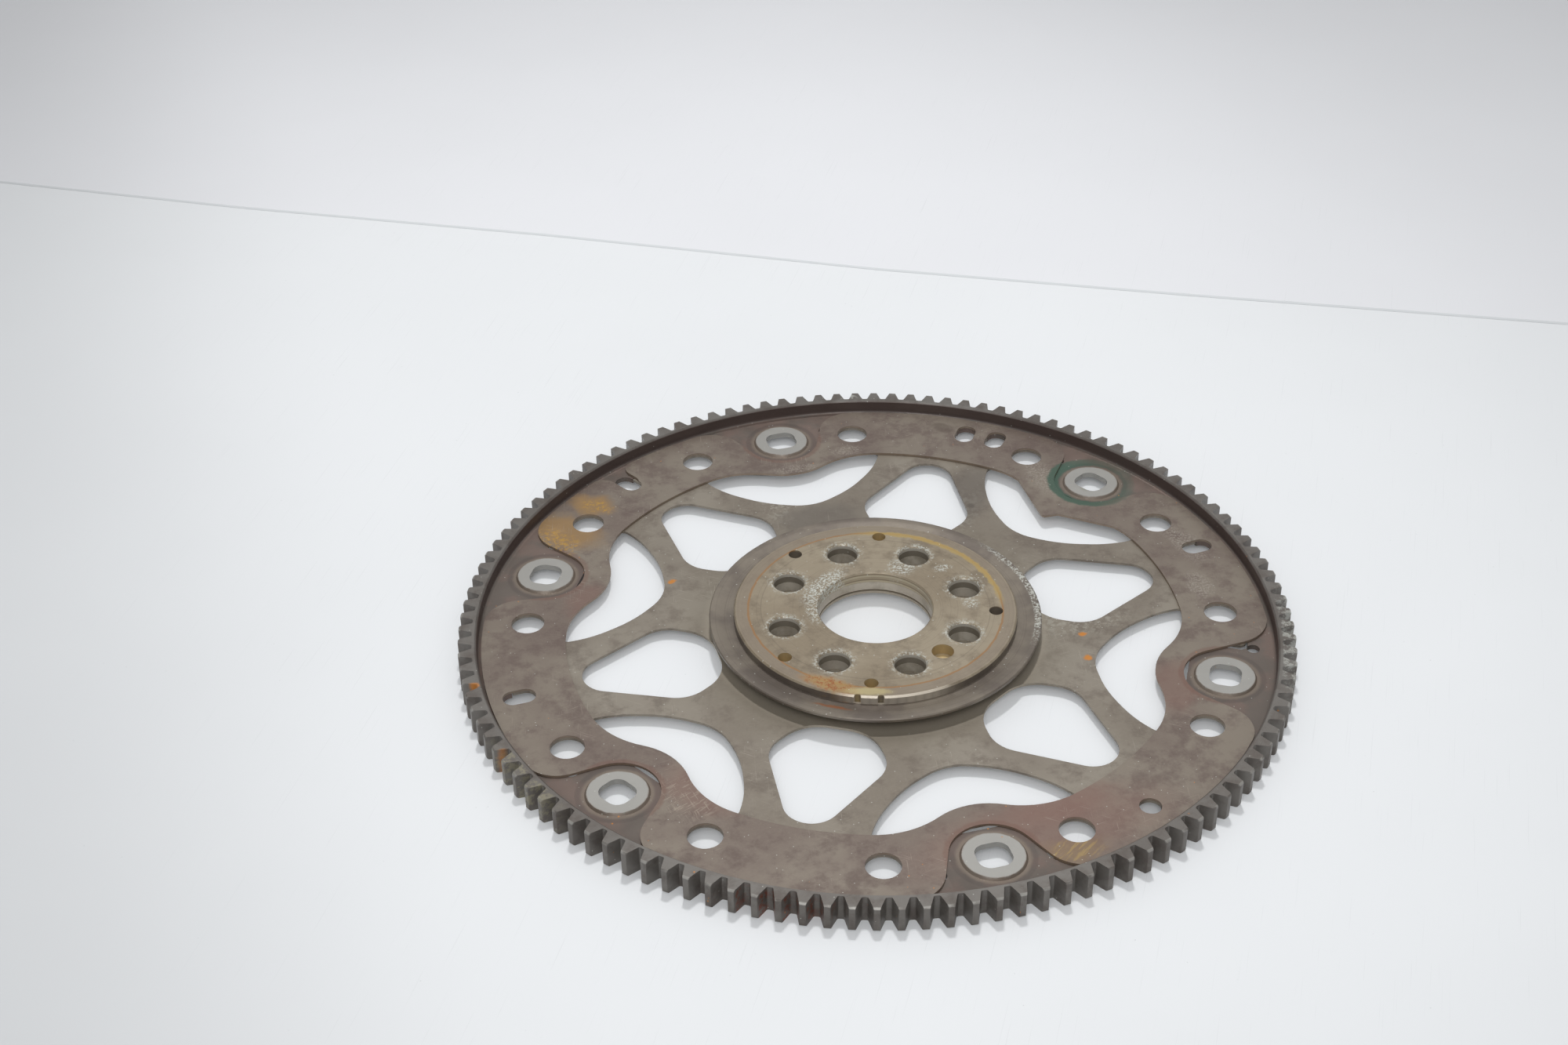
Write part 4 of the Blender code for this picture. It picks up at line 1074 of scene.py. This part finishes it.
def hub_paint():
    """Turned steel with a yellow ring, orange rust and white crust; painted light and shade in the
    crank holes and bore, and a painted glint on the boss's edge.
    """
    paint = Paint("hub_steel")
    colour = worn_steel(paint, tone(156, 144, 124), tone(140, 127, 107), tone(112, 100, 83))
    radius, height = paint.radius(), paint.along("Z")
    loose = paint.ragged(3.0, 3.0)
    outer = paint.band(radius, 49.8, 1.9, 0.6)
    colour = paint.mix(paint.times(outer, 0.6), colour, tone(134, 122, 108))
    flange = paint.ramp(radius, 52.7, 53.2)
    low = paint.ramp(height, 12.5, 12.1)
    skin = paint.mix(paint.ramp(paint.noise(16.0), 0.35, 0.65), tone(102, 93, 85), tone(126, 117, 105))
    colour = paint.mix(paint.math("MAXIMUM", flange, low), colour, skin)
    lines = paint.noise(0.5, 1.0, 0.5, paint.section())
    colour = paint.mix(paint.ramp(lines, 0.55, 0.75, 0.0, 0.25), colour, tone(84, 74, 64))
    face = paint.ramp(height, 12.2, 12.6)
    thin = paint.times(paint.band(paint.radius(paint.ragged(5.0, 1.0)), 47.4, 0.25, 0.3), face)
    colour = paint.mix(paint.times(thin, 0.7), colour, tone(150, 108, 62))
    thick = paint.times(paint.band(paint.radius(loose), 47.2, 0.7, 0.9), face,
                        paint.blot(loose, 38.0, 26.0, 52.0, 40.0, 30.0, 0.3))
    colour = paint.mix(paint.times(thick, 0.7), colour, YELLOW)
    patch = paint.blot(loose, -29.0, -39.0, 15.0, 4.6, -40.0)
    colour = paint.mix(paint.times(patch, 0.8), colour, tone(164, 130, 78))
    colour = crusted(paint, colour, patch, RUST, 0.95, 1.8)
    colour = stained(paint, colour, loose, ((-17.0, -46.5, 11.0, 3.0, -18.0),), PALE_YELLOW, 0.8)
    colour = stained(paint, colour, loose, ((-31.0, -47.5, 9.0, 1.3, -32.0),), RUST, 0.7)
    colour = stained(paint, colour, loose, ((-2.0, 36.0, 4.0, 3.0, 0.0),), tone(168, 144, 66), 0.8)
    rims = 0.0
    # Crank hole walls: painted light on their upper part and painted shade lower down
    painted_wall_shading = paint.mix(paint.ramp(height, 11.0, 11.3), tone(132, 124, 110), tone(206, 200, 188))
    for clock in crank_clocks():
        x, y = at_clock(CRANK_CIRCLE_RADIUS * 1000.0, clock)
        rims = paint.math("MAXIMUM", rims, paint.blot(loose, x, y, 9.0, 9.0, 0.0, 0.4))
        hole = paint.times(paint.blot(paint.place, x, y, 6.5, 6.5, 0.0, 0.06),
                           paint.ramp(height, 12.35, 12.25))
        colour = paint.mix(paint.times(hole, 0.8), colour, painted_wall_shading)
    for x, y, reach in OCHRE_HOLES:
        hole = paint.times(paint.blot(paint.place, x, y, reach, reach, 0.0, 0.06),
                           paint.ramp(height, 12.85, 12.75))
        colour = paint.mix(paint.times(hole, 0.8), colour, tone(190, 168, 124))
    # The bore wall: its own turned bands, in tones lightened as painted light
    lightened_bore_wall = paint.times(paint.ramp(radius, 21.9, 21.6), paint.ramp(height, 12.6, 12.4))
    bands = paint.mix(paint.ramp(paint.noise(0.9, 1.0, 0.5, paint.section()), 0.42, 0.60),
                      tone(186, 174, 148), tone(136, 120, 96))
    colour = paint.mix(paint.times(lightened_bore_wall, 0.8), colour, bands)
    rims = paint.times(rims, face)
    colour = crusted(paint, colour, rims, CRUST, 0.9, 1.1)
    for x, y, long, wide, turn in ((-14.5, 18.5, 17.0, 6.0, 38.0), (-14.5, 18.5, 14.0, 5.0, 38.0),
                                   (-22.0, 4.0, 10.0, 5.0, 80.0), (17.0, 21.0, 7.0, 7.0, 0.0),
                                   (32.0, 16.0, 5.0, 3.0, 0.0), (35.0, -8.0, 4.0, 4.0, 0.0)):
        colour = crusted(paint, colour, paint.blot(loose, x, y, long, wide, turn), CRUST, 0.85, 1.0)
    lip = paint.times(paint.band(radius, 60.6, 1.0, 0.6), paint.blot(loose, 58.0, -4.0, 44.0, 16.0, 90.0))
    colour = crusted(paint, colour, lip, CRUST, 0.8, 1.0)
    glint = paint.times(paint.band(radius, 52.4, 0.3, 0.2), paint.blot(loose, -10.0, -52.0, 34.0, 8.0, -8.0))
    colour = paint.mix(paint.times(glint, 0.7), colour, tone(226, 216, 200))
    colour = flecked(paint, colour, CRUST, 0.45, 0.80, 0.7)
    paint.feed(colour, paint.shader.inputs["Base Color"])
    return paint.material


def board_paint(name, colour):
    """A pale board with faint clouds and a few specks; painted shade darkens it to the left and far off,
    and a glow seen by the camera and in reflections lightens its shadows.
    """
    paint = Paint(name)
    cloud = paint.ramp(paint.noise(120.0, 3.0), 0.3, 0.7)
    shade = paint.mix(paint.times(cloud, 0.25), colour, tuple(0.94 * c for c in colour))
    # Painted shade: the board darkens to the left and far off, as its light falls off
    away = paint.vector("LENGTH", paint.vector("SUBTRACT", paint.place, (20.0, 130.0, 0.0)))
    level = paint.times(paint.ramp(away, 200.0, 800.0, 1.0, 0.68),
                        paint.ramp(paint.along("X"), -150.0, -330.0, 1.0, 0.82),
                        paint.ramp(paint.along("X"), 120.0, 420.0, 1.0, 0.90))
    shade = paint.mix(level, tuple(0.0 for _ in colour), shade)
    shade = flecked(paint, shade, tone(176, 178, 180), 0.5, 0.985, 0.6)
    lines = paint.noise(1.0, 2.0, 0.5, paint.stretched(0.6, 40.0, 60.0))
    shade = paint.mix(paint.ramp(lines, 0.64, 0.74, 0.0, 0.22), shade, tone(190, 192, 194))
    paint.feed(shade, paint.shader.inputs["Base Color"])
    paint.feed(shade, paint.shader.inputs["Emission Color"])
    # Painted light: the board glows with its own colour for the camera and in reflections, lightening its
    # shadows
    rays = paint.tree.nodes.new("ShaderNodeLightPath")
    seen = paint.math("MAXIMUM", rays.outputs["Is Camera Ray"], rays.outputs["Is Glossy Ray"])
    paint.feed(paint.math("MULTIPLY", seen, BOARD_GLOW), paint.shader.inputs["Emission Strength"])
    paint.shader.inputs["Roughness"].default_value = 0.5
    return paint.material


# Scene

def build_part():
    """Build, paint and attach the five skins."""
    balance = solid_plate("balance_slots", balance_slots(), WEB_BOTTOM - CUT_MARGIN,
                          COVER_TOP + CUT_MARGIN)
    made = (
        (build_ring_gear(balance), gear_paint(), "ring_gear", "gear_steel"),
        (build_cover_ring(balance), cover_paint(), "cover_ring", "cover_steel"),
        (build_spoke_disc(balance), spoke_paint(), "spoke_disc", "spoke_steel"),
        (build_hub_spacer(), spacer_paint(), "hub_spacer", "spacer_steel"),
        (build_hub_plate(), hub_paint(), "hub_plate", "hub_steel"),
    )
    helpers = []
    for (skin, cutters), paint, node, slot in made:
        skin.data.materials.clear()
        skin.data.materials.append(paint)
        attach(skin, "root")
        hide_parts(node)
        helpers += cutters
    clear_helpers(helpers)


def board(name, outline, height, paint):
    """One flat board of the stage."""
    mesh = bpy.data.meshes.new(name)
    mesh.from_pydata([(x, y, height) for x, y in outline], [], [range(len(outline))])
    item = shown(name, mesh)
    item.data.materials.append(paint)


def build_stage():
    """The board under the part, the board behind it, and the dark joint between them."""
    reach = BOARD_REACH
    front = list(JOINT_LINE) + [(reach, -reach), (-reach, -reach)]
    back = list(reversed(JOINT_LINE)) + [(-reach, reach + 1.0), (reach, reach + 1.0)]
    board("board_front", front, 0.0, board_paint("board_front", tone(217, 219, 221)))
    board("board_back", back, 0.0, board_paint("board_back", tone(216, 217, 220)))
    half = JOINT_WIDTH / 2
    strip = [(x, y - half) for x, y in JOINT_LINE] + [(x, y + half) for x, y in reversed(JOINT_LINE)]
    board("board_joint", strip, 0.0001, board_paint("board_joint", tone(200, 203, 205)))


def soft_lamp(name, direction, distance, size, power):
    """A round lamp that shines at the part from one direction."""
    lamp = bpy.data.lights.new(name, "AREA")
    lamp.shape = "DISK"
    lamp.size = size
    lamp.energy = power
    item = bpy.data.objects.new(name, lamp)
    bpy.context.scene.collection.objects.link(item)
    item.location = Vector(direction).normalized() * distance
    item.rotation_mode = "QUATERNION"
    item.rotation_quaternion = (-Vector(item.location)).to_track_quat("-Z", "Y")


def build_light():
    """Soft light from all round, a lamp above and behind, and a weak wide one in front."""
    world = bpy.data.worlds.new("studio")
    bpy.context.scene.world = world
    world.use_nodes = True
    nodes, links = world.node_tree.nodes, world.node_tree.links
    background = nodes["Background"]
    where = nodes.new("ShaderNodeTexCoord")
    split = nodes.new("ShaderNodeSeparateXYZ")
    links.new(where.outputs["Generated"], split.inputs[0])
    level = nodes.new("ShaderNodeMapRange")
    links.new(split.outputs["Z"], level.inputs["Value"])
    level.inputs["From Min"].default_value = 0.0
    level.inputs["From Max"].default_value = 1.0
    level.inputs["To Min"].default_value = SKY_LOW
    level.inputs["To Max"].default_value = SKY_HIGH
    background.inputs["Color"].default_value = (0.98, 0.99, 1.0, 1.0)
    links.new(level.outputs["Result"], background.inputs["Strength"])
    soft_lamp("lamp_behind", KEY_DIRECTION, 2.5, 0.24, KEY_POWER)
    soft_lamp("lamp_front", FILL_DIRECTION, 3.0, 1.6, FILL_POWER)


def build_camera():
    """The camera at the photo's place."""
    data = bpy.data.cameras.new("camera")
    data.lens = LENS
    data.sensor_width = SENSOR
    camera = bpy.data.objects.new("camera", data)
    bpy.context.scene.collection.objects.link(camera)
    camera.location = CAMERA_PLACE
    level = Vector(CAMERA_AHEAD).to_track_quat("-Z", "Y")
    camera.rotation_mode = "QUATERNION"
    camera.rotation_quaternion = level @ Quaternion((0.0, 0.0, 1.0), radians(CAMERA_LEAN))
    bpy.context.scene.camera = camera


build_part()
build_stage()
build_light()
build_camera()
bpy.context.scene.view_settings.view_transform = "Standard"
